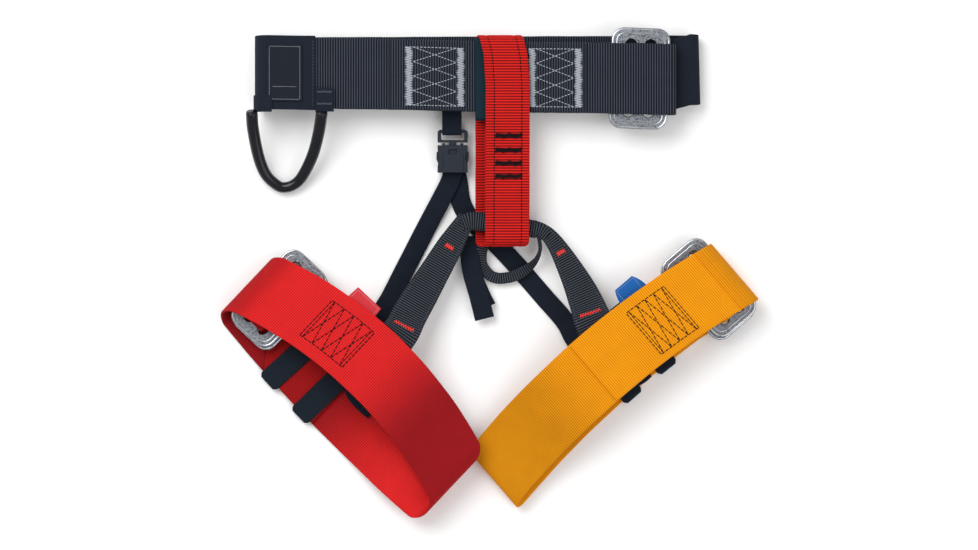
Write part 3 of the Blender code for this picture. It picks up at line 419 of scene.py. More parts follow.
# A bead carried round a closed outline: centre outline, ring of radius r in the outline's normal and z.
def rimBead(name, outline, z, r, material, place):
    p = evenRoute(np.vstack([outline, outline[:1]]), 121)[:-1]
    tangent = np.roll(p, -1, axis=0) - np.roll(p, 1, axis=0)
    tangent = tangent / np.linalg.norm(tangent, axis=1)[:, None]
    out = np.stack([tangent[:, 1], -tangent[:, 0]], axis=1)
    a = np.linspace(0, 2 * math.pi, 10, endpoint=False)
    xy = p[:, None] + out[:, None] * r * np.cos(a)[None, :, None]
    height = np.broadcast_to(z + r * np.sin(a), xy.shape[:2])
    flat = place(xy[..., 0].ravel(), xy[..., 1].ravel(), height.ravel())
    along = np.linspace(0, 0.25, len(p) + 1)
    return gridMesh(name, flat.reshape(*xy.shape[:2], 3), along, np.linspace(0, 2 * math.pi * r, 11),
                    material, closeAlong=True)


# A new node with these properties.
def addNode(tree, kind, **values):
    node = tree.nodes.new(kind)
    for key, value in values.items():
        setattr(node, key, value)
    return node


# One Math node's result; a and b are numbers or sockets.
def maths(tree, operation, a, b=None, clamp=False):
    node = addNode(tree, "ShaderNodeMath", operation=operation, use_clamp=clamp)
    for socket, value in zip(node.inputs, (a, b)):
        if value is None:
            continue
        if isinstance(value, (int, float)):
            socket.default_value = value
        else:
            tree.links.new(value, socket)
    return node.outputs[0]


# A node group with named sockets, and its input and output nodes.
def newGroup(name, inputs, outputs):
    tree = bpy.data.node_groups.new(name, "ShaderNodeTree")
    for label, kind, value in inputs:
        socket = tree.interface.new_socket(label, in_out="INPUT", socket_type=kind)
        socket.default_value = value
    for label, kind in outputs:
        tree.interface.new_socket(label, in_out="OUTPUT", socket_type=kind)
    return tree, tree.nodes.new("NodeGroupInput"), tree.nodes.new("NodeGroupOutput")


# The colour a share of the way from low to high; 6, 7 and 2 are the Mix node's colour sockets.
def mixColours(tree, share, low, high, blendType="MIX"):
    node = addNode(tree, "ShaderNodeMix", data_type="RGBA", blend_type=blendType)
    if isinstance(share, float):
        node.inputs["Factor"].default_value = share
    else:
        tree.links.new(share, node.inputs["Factor"])
    tree.links.new(low, node.inputs[6])
    tree.links.new(high, node.inputs[7])
    return node.outputs[2]


# Woven cloth from lengths along and across the strap. Ribs: 0.5 + 0.5 cos(2 pi along / pitch); yarns
# cross them and shift by half a yarn on every other rib; slow noise makes it uneven.
def weaveGroup():
    tree, source, sink = newGroup(
        "woven cloth",
        [("Dark", "NodeSocketColor", (0, 0, 0, 1)), ("Light", "NodeSocketColor", (1, 1, 1, 1)),
         ("Rib Pitch", "NodeSocketFloat", 0.0022), ("Yarn Pitch", "NodeSocketFloat", 0.0009),
         ("Yarn Depth", "NodeSocketFloat", 0.35), ("Unevenness", "NodeSocketFloat", 0.25),
         ("Line Sharpness", "NodeSocketFloat", 1.0), ("Deep", "NodeSocketColor", (0, 0, 0, 1))],
        [("Color", "NodeSocketColor"), ("Height", "NodeSocketFloat"), ("Roughness", "NodeSocketFloat")])
    uv = tree.nodes.new("ShaderNodeUVMap")
    uv.uv_map = "UVMap"
    split = tree.nodes.new("ShaderNodeSeparateXYZ")
    tree.links.new(uv.outputs[0], split.inputs[0])
    ribTurns = maths(tree, "DIVIDE", split.outputs[1], source.outputs["Rib Pitch"])
    rib = maths(tree, "COSINE", maths(tree, "MULTIPLY", ribTurns, 2 * math.pi))
    rib = maths(tree, "ADD", maths(tree, "MULTIPLY", rib, 0.5), 0.5)
    odd = maths(tree, "MULTIPLY", maths(tree, "MODULO", maths(tree, "FLOOR", ribTurns), 2.0), math.pi)
    yarnTurns = maths(tree, "DIVIDE", split.outputs[0], source.outputs["Yarn Pitch"])
    yarn = maths(tree, "COSINE", maths(tree, "ADD", maths(tree, "MULTIPLY", yarnTurns, 2 * math.pi), odd))
    yarn = maths(tree, "ADD", maths(tree, "MULTIPLY", yarn, 0.5), 0.5)
    yarn = maths(tree, "MULTIPLY", yarn, source.outputs["Yarn Depth"])
    noise = addNode(tree, "ShaderNodeTexNoise")
    noise.inputs["Scale"].default_value = 55.0
    noise.inputs["Detail"].default_value = 5.0
    place = tree.nodes.new("ShaderNodeTexCoord")
    tree.links.new(place.outputs["Object"], noise.inputs["Vector"])
    uneven = maths(tree, "MULTIPLY", maths(tree, "SUBTRACT", noise.outputs[0], 0.5),
                   source.outputs["Unevenness"])
    worn = addNode(tree, "ShaderNodeAttribute", attribute_name="fade")
    ribbed = maths(tree, "SUBTRACT", 1.0, worn.outputs["Fac"])
    level = maths(tree, "MULTIPLY", maths(tree, "SUBTRACT", rib, 0.6), ribbed)
    height = maths(tree, "ADD", maths(tree, "MULTIPLY", maths(tree, "ADD", level, 0.6), 0.75), yarn)
    share = maths(tree, "POWER", height, source.outputs["Line Sharpness"])
    share = maths(tree, "ADD", share, uneven, clamp=True)
    plain = mixColours(tree, share, source.outputs["Dark"], source.outputs["Light"])
    # Painted shade with a darker dye: the darkening attribute takes the colour towards Deep, keeping the
    # weave.
    shadeAndDyeMask = addNode(tree, "ShaderNodeAttribute", attribute_name="shadeAndDye")
    depth = maths(tree, "ADD", maths(tree, "MULTIPLY", share, 0.7), 0.3)
    deep = mixColours(tree, 1.0, source.outputs["Deep"], depth, "MULTIPLY")
    tree.links.new(mixColours(tree, shadeAndDyeMask.outputs["Fac"], plain, deep), sink.inputs["Color"])
    tree.links.new(height, sink.inputs["Height"])
    tree.links.new(maths(tree, "ADD", maths(tree, "MULTIPLY", uneven, 0.6), 0.72), sink.inputs["Roughness"])
    return tree


# Pitted or pebbled surface: height = noise + 0.4 * distance to the nearest cell's point, on object
# coordinates, and 2.6 * (height - 0.42) runs from dark and smooth to light and rough.
def pittedGroup():
    tree, source, sink = newGroup(
        "pitted surface",
        [("Scale", "NodeSocketFloat", 400.0), ("Dark", "NodeSocketColor", (0.2, 0.2, 0.2, 1)),
         ("Light", "NodeSocketColor", (0.8, 0.8, 0.8, 1)), ("Smooth", "NodeSocketFloat", 0.25),
         ("Rough", "NodeSocketFloat", 0.5)],
        [("Color", "NodeSocketColor"), ("Height", "NodeSocketFloat"), ("Roughness", "NodeSocketFloat")])
    place = tree.nodes.new("ShaderNodeTexCoord")
    noise = addNode(tree, "ShaderNodeTexNoise")
    noise.inputs["Detail"].default_value = 8.0
    noise.inputs["Roughness"].default_value = 0.65
    cells = tree.nodes.new("ShaderNodeTexVoronoi")
    for node in (noise, cells):
        tree.links.new(place.outputs["Object"], node.inputs["Vector"])
        tree.links.new(source.outputs["Scale"], node.inputs["Scale"])
    height = maths(tree, "ADD", noise.outputs[0], maths(tree, "MULTIPLY", cells.outputs["Distance"], 0.4))
    share = maths(tree, "MULTIPLY", maths(tree, "SUBTRACT", height, 0.42), 2.6, clamp=True)
    tree.links.new(mixColours(tree, share, source.outputs["Dark"], source.outputs["Light"]),
                   sink.inputs["Color"])
    tree.links.new(height, sink.inputs["Height"])
    rough = maths(tree, "ADD", source.outputs["Smooth"],
                  maths(tree, "MULTIPLY", share, maths(tree, "SUBTRACT", source.outputs["Rough"],
                                                       source.outputs["Smooth"])))
    tree.links.new(rough, sink.inputs["Roughness"])
    return tree


woven = weaveGroup()
pitted = pittedGroup()


# A material whose colour, roughness and relief come from the group; bump is (strength, distance).
def finishFrom(name, group, values, bump, metallic=0.0, specular=0.5):
    made = bpy.data.materials.new(name)
    made.use_nodes = True
    tree = made.node_tree
    shader = tree.nodes["Principled BSDF"]
    node = tree.nodes.new("ShaderNodeGroup")
    node.node_tree = group
    for key, value in values.items():
        node.inputs[key].default_value = value
    tree.links.new(node.outputs["Color"], shader.inputs["Base Color"])
    tree.links.new(node.outputs["Roughness"], shader.inputs["Roughness"])
    relief = tree.nodes.new("ShaderNodeBump")
    relief.inputs["Strength"].default_value = bump[0]
    relief.inputs["Distance"].default_value = bump[1]
    tree.links.new(node.outputs["Height"], relief.inputs["Height"])
    tree.links.new(relief.outputs[0], shader.inputs["Normal"])
    shader.inputs["Metallic"].default_value = metallic
    shader.inputs["Specular IOR Level"].default_value = specular
    return made


# Webbing or tape: dark is the colour between the ribs and light the colour on them; deep is the colour of
# painted shade with a darker dye.
def cloth(name, dark, light, ribPitch=0.0022, yarnPitch=0.0009, yarnDepth=0.35, uneven=0.25,
          strength=0.7, sharp=1.0, deep=(0, 0, 0)):
    values = {"Dark": (*dark, 1), "Light": (*light, 1), "Rib Pitch": ribPitch, "Yarn Pitch": yarnPitch,
              "Yarn Depth": yarnDepth, "Unevenness": uneven, "Line Sharpness": sharp, "Deep": (*deep, 1)}
    return finishFrom(name, woven, values, (strength, 0.0003), specular=0.09)


# Metal, plastic, tube or thread: dark in the pits and light between them.
def pebbled(name, dark, light, scale, smooth, rough, bump, metallic=0.0, specular=0.5):
    values = {"Dark": (*dark, 1), "Light": (*light, 1), "Scale": scale, "Smooth": smooth, "Rough": rough}
    return finishFrom(name, pitted, values, bump, metallic=metallic, specular=specular)


navyWeb = cloth("navyWebbing", (0.002, 0.003, 0.006), (0.070, 0.083, 0.112), 0.0026, 0.0010, sharp=3.4,
                uneven=0.10)
riserWeb = cloth("riserWebbing", (0.002, 0.003, 0.005), (0.080, 0.092, 0.115), 0.0024, 0.0010, sharp=3.4,
                 uneven=0.12)
smoothNavy = cloth("smoothNavyTape", (0.004, 0.006, 0.011), (0.012, 0.017, 0.028), 0.0011, 0.0007, 0.5, 0.3,
                   strength=0.35)
strapNavy = cloth("narrowNavyStrap", (0.003, 0.005, 0.010), (0.011, 0.016, 0.027), 0.0013, 0.0008, 0.4, 0.3)
labelCloth = cloth("labelWeave", (0.005, 0.007, 0.012), (0.014, 0.018, 0.026), 0.0006, 0.0005, 0.5, 0.15,
                   strength=0.3)
wearCloth = cloth("wearTube", (0.003, 0.011, 0.018), (0.009, 0.028, 0.040), 0.0016, 0.0010, 0.4)
# Its deep colour is painted shade with a darker dye on the red leg band.
redWeb = cloth("redWebbing", (0.24, 0.003, 0.005), (0.80, 0.020, 0.020), sharp=0.8,
               deep=(0.30, 0.006, 0.010))
redLoopWeb = cloth("redLoopWebbing", (0.07, 0.001, 0.002), (0.80, 0.018, 0.013), 0.0028, 0.0010, sharp=1.5,
                   uneven=0.15)
# The red leg's tail at half the red webbing's brightness, for its place under the front band: painted
# shade.
redInner = cloth("redWebbingInside", (0.11, 0.002, 0.003), (0.40, 0.007, 0.008), sharp=0.9)
# Its deep colour is painted shade with a darker dye on the yellow leg band.
yellowWeb = cloth("yellowWebbing", (0.42, 0.115, 0.001), (0.90, 0.345, 0.004), sharp=0.8,
                  deep=(0.70, 0.260, 0.003))
elasticWeb = cloth("elasticTape", (0.004, 0.007, 0.012), (0.013, 0.020, 0.030), 0.0009, 0.0007, 0.6, 0.3)
redTagWeb = cloth("redTag", (0.40, 0.02, 0.03), (0.66, 0.05, 0.06), 0.0005, 0.0005, 0.5, strength=0.3)
blueTagWeb = cloth("blueTag", (0.006, 0.06, 0.25), (0.018, 0.14, 0.44), 0.0005, 0.0005, 0.5, strength=0.3)
plateFace = pebbled("plateFace", (0.030, 0.034, 0.042), (0.26, 0.28, 0.31), 520, 0.26, 0.44,
                    (0.5, 0.0004), 0.85)
plateRim = pebbled("plateRim", (0.24, 0.26, 0.29), (0.58, 0.60, 0.63), 160, 0.13, 0.25,
                   (0.15, 0.0002), 1.0)
buckleMould = pebbled("buckleMould", (0.005, 0.008, 0.015), (0.014, 0.019, 0.030), 900, 0.40, 0.55,
                      (0.3, 0.0001), specular=0.22)
glossTube = pebbled("glossTube", (0.0015, 0.002, 0.003), (0.004, 0.005, 0.008), 120, 0.10, 0.18,
                    (0.05, 0.0002), specular=0.32)
blackThread = pebbled("blackThread", (0.001, 0.001, 0.0015), (0.006, 0.006, 0.008), 2600, 0.6, 0.8,
                      (0.5, 0.0001), specular=0.1)
greyThread = pebbled("greyThread", (0.20, 0.22, 0.25), (0.46, 0.49, 0.54), 2600, 0.5, 0.7, (0.5, 0.0001))
redThread = pebbled("redThread", (0.42, 0.006, 0.005), (0.85, 0.03, 0.02), 2600, 0.5, 0.7, (0.5, 0.0001))
navyThread = pebbled("navyThread", (0.025, 0.032, 0.048), (0.070, 0.082, 0.110), 2600, 0.5, 0.7,
                     (0.5, 0.0001))
print("materials made")


# Rides on its body and stands for its nodes; slot is not used.
def settle(made, body, slot, *nodes, bend=None):
    piece = made["piece"] if isinstance(made, dict) else made
    if bend:
        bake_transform(piece)
    else:
        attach(piece, body)
    if nodes:
        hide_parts(*nodes)
    return made


belt = {"left": -0.238, "right": 0.191, "leftY": 0.2045, "rightY": 0.197, "rearLeftY": 0.2065,
        "rearRightY": 0.2085, "frontZ": 0.0362, "dip": 0.0098, "dipX": 0.010, "dipHalf": 0.100,
        "width": 0.072, "endRight": 0.216, "foldDepth": 0.010, "hemLeft": 0.1725,
        "layerLeft": -0.101, "layerRight": 0.098}
leftTurnX = belt["left"] + web / 2 + belt["foldDepth"]        # where the left fold starts to turn
plate = {"thick": 0.0030, "room": 0.0006, "corner": 0.013, "slotLength": 0.080,
         "rim": 0.00145, "rimInset": 0.0028, "step": 0.0008, "stepInset": 0.0110, "lip": 0.0011,
         "lipRoom": 0.0016}
waist = {"size": (0.060, 0.103), "pitch": 0.020, "slot": 0.0120, "x": 0.1535, "y": 0.1985,
         "lean": math.radians(-2.3)}
hemZ = belt["frontZ"] - 2 * layer - 2 * plate["thick"] - 3 * plate["room"]
overBarZ = belt["frontZ"] - layer - 0.0002
waistSliderZ = overBarZ - web / 2 - plate["room"] - plate["thick"] / 2
waistFrameZ = waistSliderZ - plate["thick"] - plate["room"]


# The front band's centre line, straight from the left fold to the right one.
def frontY(x):
    share = (x - belt["left"]) / (belt["right"] - belt["left"])
    return belt["leftY"] + (belt["rightY"] - belt["leftY"]) * share


# The rear band's, the same way.
def rearY(x):
    share = (x - belt["left"]) / (belt["endRight"] - belt["left"])
    return belt["rearLeftY"] + (belt["rearRightY"] - belt["rearLeftY"]) * share


# Front band: level, less a raised cosine of depth dip where the tie-in loop pulls it down.
def frontZ(x):
    away = np.clip(np.abs(x - belt["dipX"]) / belt["dipHalf"], 0, 1)
    return belt["frontZ"] - belt["dip"] * 0.5 * (1 + np.cos(math.pi * away))


# Half an ellipse in (x, z) round the belt's left fold, lifted off the middle of its webbing.
def leftFold(lift, steps):
    return halfTurn(leftTurnX, (belt["frontZ"] + web / 2) / 2, belt["foldDepth"] + lift,
                    (belt["frontZ"] - web / 2) / 2 + lift, -1, steps)


# Hem, right fold, front band, left fold and rear band in (x, z), then y from the band they lie on.
def beltRoute():
    depth = 0.0045
    half = (belt["frontZ"] - hemZ) / 2
    turnX = belt["right"] - web / 2 - depth
    hem = np.array([[belt["hemLeft"], hemZ], [turnX - 0.002, hemZ]])
    right = halfTurn(turnX, belt["frontZ"] - half, depth, half, 1)[::-1]
    x = np.linspace(turnX - 0.002, leftTurnX + 0.002, 90)
    front = np.stack([x, frontZ(x)], axis=1)
    left = leftFold(0, 17)
    rear = np.array([[leftTurnX + 0.010, web / 2], [belt["right"] - 0.004, web / 2]])
    flat = np.vstack([hem, right, front, left, rear])
    share = np.r_[np.zeros(len(hem) + len(right) + len(front)), np.linspace(0, 1, len(left)), 1, 1]
    y = frontY(flat[:, 0]) * (1 - share) + rearY(flat[:, 0]) * share
    return np.stack([flat[:, 0], y, flat[:, 1]], axis=1)


# The webbing on its route, and the second layer one layer above its front band.
def makeBelt():
    settle(strap("beltWebbing", beltRoute(), (0, 1, 0), belt["width"], navyWeb, ribPitch=0.0026, reach=2),
           "belt", "navy_webbing", "belt_webbing")
    x = np.linspace(belt["layerLeft"], belt["layerRight"], 90)
    front = np.stack([x, frontY(x), frontZ(x) + layer], axis=1)
    frontLayer = strap("beltFrontLayer", front, (0, -1, 0), belt["width"] - 0.0006, navyWeb,
                       ribPitch=0.0026)
    frontLayer["normal"] = frontLayer["normal"] * np.sign(frontLayer["normal"][:, 2:3])
    settle(frontLayer, "belt", "navy_webbing", "belt_front_layer")
    return frontLayer


# Two heavy upright bars of zigzag, four rows of crossed lines between them, and a line above and below.
def beltBox(name, made, left, right, middleY, half):
    scale = made["length"] / (belt["layerRight"] - belt["layerLeft"])
    s0, s1 = ((x - belt["layerLeft"]) * scale for x in (left, right))
    middle = middleY - float(np.interp(s0, made["s"], made["centre"][:, 1]))
    sign = float(np.sign(made["side"][0, 1]))
    low, high = sign * (middle - half), sign * (middle + half)
    lift = 0.0002
    parts = [zigzag(made, (s + shift, low), (s + shift, high), 0.0040, 0.0017, lift)
             for s, shift in ((s0, 0.0040), (s1, -0.0040))]
    rows = np.linspace(low, high, 5)
    inner0, inner1 = s0 + 0.0085, s1 - 0.0085
    for a, b in zip(rows[:-1], rows[1:]):
        parts.append(stitchLine(made, [(inner0, a), (inner1, b)], 0.0024, 0.0008, lift))
        parts.append(stitchLine(made, [(inner0, b), (inner1, a)], 0.0024, 0.0008, lift))
    for w in (low, high):
        parts.append(stitchLine(made, [(s0, w), (s1, w)], 0.0026, 0.0010, lift))
    stitches(name, "belt", *gather(parts), greyThread, 0.00050)


cover = {"right": -0.1765, "thick": 0.0012, "extra": 0.0035}
label = {"left": -0.2255, "right": -0.190, "height": 0.058, "thick": 0.0009, "margin": 0.0022}
wear = {"x": 0.011, "width": 0.050, "thick": 0.0010, "drop": 0.0085, "rise": 0.0036}


# The smooth cover follows the front band and the left fold, and the label lies on it with a slight ripple.
def makeBeltCovers():
    lift = web / 2 + gap + cover["thick"] / 2
    x = np.linspace(cover["right"], leftTurnX + 0.003, 30)
    turn = leftFold(lift, 21)
    turn = turn[turn[:, 1] > web / 2 + 0.004]
    flat = np.vstack([np.stack([x, frontZ(x) + lift], axis=1), turn])
    route = np.stack([flat[:, 0], frontY(flat[:, 0]), flat[:, 1]], axis=1)
    sleeve = strap("beltLeftSleeve", route, (0, 1, 0), belt["width"] + cover["extra"], smoothNavy,
                   cover["thick"], ribHeight=0.00003, ribPitch=0.0011, stations=240)
    settle(sleeve, "belt", "smooth_navy", "belt_left_sleeve")
    z = belt["frontZ"] + web / 2 + 2 * gap + cover["thick"] + label["thick"] / 2
    x = np.linspace(label["left"], label["right"], 30)
    ripple = 0.00012 * np.sin(x * 420)
    patch = strap("beltLabel", np.stack([x, frontY(x) - 0.0005, z + ripple], axis=1), (0, 1, 0),
                  label["height"], labelCloth, label["thick"], ribHeight=0.00002, ribPitch=0.0008,
                  stations=120)
    settle(patch, "belt", "label_cloth", "belt_label")
    edge, half = label["margin"], label["height"] / 2 - label["margin"]
    end = patch["length"] - edge
    face = float(np.sign(patch["normal"][0, 2]))
    border = stitchLine(patch, [(edge, -half), (end, -half), (end, half), (edge, half), (edge, -half)],
                        0.0019, 0.0008, 0.0001, face)
    panel = stitchLine(patch, [(0.006, -0.014), (patch["length"] - 0.006, -0.014)], 0.0014, 0.0007,
                       0.0001, face)
    stitches("labelBorder", "belt", *gather([border, panel]), greyThread, 0.00026)
    edgeRun = stitchLine(sleeve, [(0.0025, -0.034), (0.0025, 0.034)], 0.0024, 0.0009, 0.0001,
                         float(np.sign(sleeve["normal"][2, 2])))
    stitches("sleeveEdgeStitch", "belt", *edgeRun, navyThread, 0.00032)
    makeWearSleeve()


# A flattened tube of cloth round both layers of the front band, longer below than above.
def makeWearSleeve():
    centre, level = frontY(wear["x"]), belt["frontZ"] - belt["dip"]
    half = belt["width"] / 2
    ring = stadium(centre - half - wear["drop"], centre + half + wear["rise"],
                   level - web / 2 - 2 * gap - wear["thick"] / 2,
                   level + layer + web / 2 + 4 * gap + wear["thick"] / 2, 15)
    route = np.stack([np.full(len(ring), wear["x"]), ring[:, 0], ring[:, 1]], axis=1)
    settle(strap("wearSleeve", route, (1, 0, 0), wear["width"], wearCloth, wear["thick"], closed=True,
                 ribHeight=0.00004, ribPitch=0.0016, reach=1), "belt", "wear_cloth", "wear_sleeve")


# The strap end: along the rear band, round its right fold, and up and over both plates' middle bar.
def makeBeltEnd():
    upperZ, lowerZ = hemZ - layer - plate["room"], web / 2 + layer
    fold = (upperZ - lowerZ) / 2
    turnX = belt["endRight"] - web / 2 - 0.008
    first, second = waist["x"] + waist["pitch"] / 2, waist["x"] - waist["pitch"] / 2
    turn = halfTurn(turnX, lowerZ + fold, 0.008, fold, 1)[::-1]
    flat = np.vstack([[(waist["x"] - 0.010, lowerZ), (turnX - 0.012, lowerZ)], turn,
                      [(turnX - 0.006, upperZ)], overBar(first, second, upperZ, overBarZ),
                      [(second - 0.022, upperZ)]])
    flat = evenRoute(flat, 500)
    share = (flat[:, 1] > lowerZ + fold) * np.clip(
        (turnX - flat[:, 0]) / (turnX - first - waist["slot"] / 2), 0, 1)
    buckleY = waist["y"] + (flat[:, 0] - waist["x"]) * math.sin(waist["lean"])
    y = rearY(flat[:, 0]) * (1 - share) + buckleY * share
    lean = math.radians(1.5) * (1 - share) + waist["lean"] * share
    across = np.stack([-np.sin(lean), np.cos(lean), 0 * lean], axis=1)
    end = strap("beltEnd", np.stack([flat[:, 0], y, flat[:, 1]], axis=1), across, belt["width"],
                smoothNavy, ribHeight=0.00004, ribPitch=0.0011, stations=520)
    settle(end, "belt", "smooth_navy", "belt_end")


# One plate of a double plate buckle: a mottled face with two slots, and polished beads round its edge,
# round the step inside it and round the slots.
def plateBuckle(name, body, node, size, pitch, slotWidth, z, place):
    slots = [roundedOutline(slotWidth, plate["slotLength"], slotWidth / 2 - 1e-4, (s * pitch / 2, 0.0))
             for s in (-1, 1)]
    outline = roundedOutline(*size, plate["corner"])
    half = plate["thick"] / 2
    face = moulded(name, outline, slots, z - half + 0.0003, z + half - 0.0003, 0.0006, plateFace, place)
    settle(face, body, "cast_plate", node)
    inset = roundedOutline(size[0] - plate["rimInset"], size[1] - plate["rimInset"],
                           plate["corner"] - plate["rimInset"] / 2, steps=12)
    settle(rimBead(name + "Rim", inset, z, plate["rim"], plateRim, place), body, "cast_plate")
    step = roundedOutline(size[0] - plate["stepInset"], size[1] - plate["stepInset"],
                          plate["corner"] - 0.0050, steps=12)
    settle(rimBead(name + "Step", step, z + half - 0.0009, plate["step"], plateRim, place), body,
           "cast_plate")
    for k, s in enumerate((-1, 1)):
        lip = roundedOutline(slotWidth + plate["lipRoom"], plate["slotLength"] + plate["lipRoom"],
                             slotWidth / 2 + 0.0007, (s * pitch / 2, 0.0))
        settle(rimBead("%sLip%d" % (name, k + 1), lip, z, plate["lip"], plateRim, place), body,
               "cast_plate")


# From the waist buckle's own axes to the frame: turned by its lean, then moved.
def waistPlace(x, y, z):
    c, s = math.cos(waist["lean"]), math.sin(waist["lean"])
    return np.stack([waist["x"] + c * x - s * y, waist["y"] + s * x + c * y, z], axis=1)


gear = {"radius": 0.0062, "endZ": 0.0412, "y": 0.1652,
        "route": [(-0.2412, 0.1640), (-0.2405, 0.146), (-0.236, 0.1195), (-0.229, 0.101), (-0.2175, 0.090),
                  (-0.210, 0.088), (-0.201, 0.0906), (-0.192, 0.099), (-0.181, 0.1195), (-0.174, 0.142),
                  (-0.1698, 0.1640)]}


# The tube's height grows towards its ends with the power 1.2 of y's share of the way up; then its two tabs.
def makeGearLoop():
    flat = smoothRoute(gear["route"], 150)
    low = gear["radius"] + 0.0002
    share = (flat[:, 1] - flat[:, 1].min()) / (gear["y"] - flat[:, 1].min())
    z = low + (gear["endZ"] - low) * np.clip(share, 0, 1) ** 1.2
    route = np.column_stack([flat, z])
    s = np.linspace(0, 1, len(route))
    collar = (1 - 0.10 * np.clip(1 - np.minimum(s, 1 - s) / 0.015, 0, 1) ** 2
              - 0.10 * np.exp(-((s - 0.5) / 0.16) ** 2))
    tube = tubePiece("gearTube", route, (gear["radius"] - 0.0001) * collar, glossTube, sides=28)
    settle(tube, "gear_loop", "gloss_tube", "gear_loop_tube")
    top = belt["frontZ"] + web / 2 + cover["thick"] + 2 * gap + 0.0009
    y = np.linspace(0.1640, 0.188, 24)
    lip = top + 0.0006 * np.sin(math.pi * (y - 0.164) / 0.024)
    right = strap("gearTabRight", np.stack([np.full(24, -0.1672), y, lip], axis=1), (1, 0, 0), 0.019,
                  smoothNavy, 0.0018, ribHeight=0.00012, ribPitch=0.0030)
    settle(right, "belt", "smooth_navy", "gear_tab_right")
    face = float(np.sign(right["normal"][0, 2]))
    bars = [zigzag(right, (s, -0.0075), (s, 0.0075), 0.0011, 0.0014, 0.0001, face) for s in (0.008, 0.020)]
    stitches("gearTabStitch", "belt", *gather(bars), navyThread, 0.00034)
    turn = leftFold(web / 2 + 2 * gap + 0.0021, 31)
    turn = turn[turn[:, 1] > 0.0265]
    flat = np.vstack([(leftTurnX + 0.006, turn[0, 1]), turn])
    left = strap("gearTabLeft", np.column_stack([flat[:, 0], np.full(len(flat), 0.1726), flat[:, 1]]),
                 (0, 1, 0), 0.0175, smoothNavy, 0.0015, ribHeight=0.00003, ribPitch=0.0013, reach=1)
    settle(left, "belt", "smooth_navy", "gear_tab_left")


loop = {"x": 0.0165, "backX": 0.0070, "bottomY": 0.027, "radius": 0.0090, "width": 0.045,
        "bridgeZ": 0.0225, "rise": 0.0056, "tacks": (0.1396, 0.1250, 0.1114, 0.0984)}


# Half circles over the belt and under the bridge, joined by the two strands; x runs from the back strand's
# place to the front one's with the height over the line between the two half circles' centres.
def makeTieInLoop():
    topZ, lowZ, r = belt["frontZ"] - belt["dip"] + layer / 2 + gap, loop["bridgeZ"], loop["radius"]
    topY = frontY(loop["x"]) + belt["width"] / 2 + loop["rise"] - r
    lowY = loop["bottomY"] + web / 2 + r
    a = np.linspace(0, math.pi, 25)
    over = np.stack([topY + r * np.sin(a), topZ - r * np.cos(a)], axis=1)
    under = np.stack([lowY - r * np.sin(a), lowZ + r * np.cos(a)], axis=1)
    flatZ = topZ + r - 0.0006
    front = [(topY - 0.012, topZ + r), (topY - 0.042, flatZ), (0.150, flatZ), (0.085, flatZ - 0.0006),
             (lowY + 0.020, lowZ + r + 0.0010)]
    back = [(lowY + 0.020, lowZ - r), (0.100, lowZ - r + 0.0010), (topY - 0.040, topZ - r - 0.0010)]
    ring = np.vstack([over, front, under, back])
    ring = evenRoute(np.vstack([ring, ring[:1]]), 400)[:-1]
    share = smoothStep((ring[:, 1] - np.interp(ring[:, 0], [lowY, topY], [lowZ, topZ])) / (1.6 * r) + 0.5)
    aside = np.interp(ring[:, 0], [0.03, 0.190, 0.222, 0.245], [0.0021, 0.0026, 0.0005, -0.0050])
    frontX = loop["x"] + aside
    x = (loop["backX"] + 0.0015) * (1 - share) + frontX * share
    made = strap("tieInLoop", np.stack([x, ring[:, 0], ring[:, 1]], axis=1), (1, 0, 0), loop["width"],
                 redLoopWeb, closed=True, ribHeight=0.00024, ribPitch=0.0028, reach=7,
                 grooves=(-0.0135, 0.0145), flats=41)
    settle(made, "tie_in_loop", "red_webbing", "attachment_loop")
    face = 1.0 if made["normal"][np.argmax(made["centre"][:, 2]), 2] > 0 else -1.0
    sign = float(np.sign(made["side"][0, 0]))
    front = made["centre"][:, 2] > np.interp(made["centre"][:, 1], [lowY, topY], [lowZ, topZ]) + 0.5 * r
    s0, s1 = made["s"][front].min(), made["s"][front].max()
    lines = [stitchLine(made, [(s0, sign * w), (s1, sign * w)], 0.0038, 0.0005, -0.0003, face)
             for w in (-0.0135, 0.0145)]
    stitches("loopEdgeStitch", "tie_in_loop", *gather(lines), blackThread, 0.00066)
    for k, y in enumerate(loop["tacks"], 1):
        s, _ = whereOn(made, loop["x"], y, above=flatZ - 0.005)
        bar = [zigzag(made, (s, -0.0125), (s, 0.0145), 0.0030, 0.0016, lift, face)
               for lift in (0.0003, 0.0007)]
        piece = stitches("loopBar%d" % k, "tie_in_loop", *gather(bar), blackThread, 0.00060)
        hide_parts("loop_bartack_%d" % k)


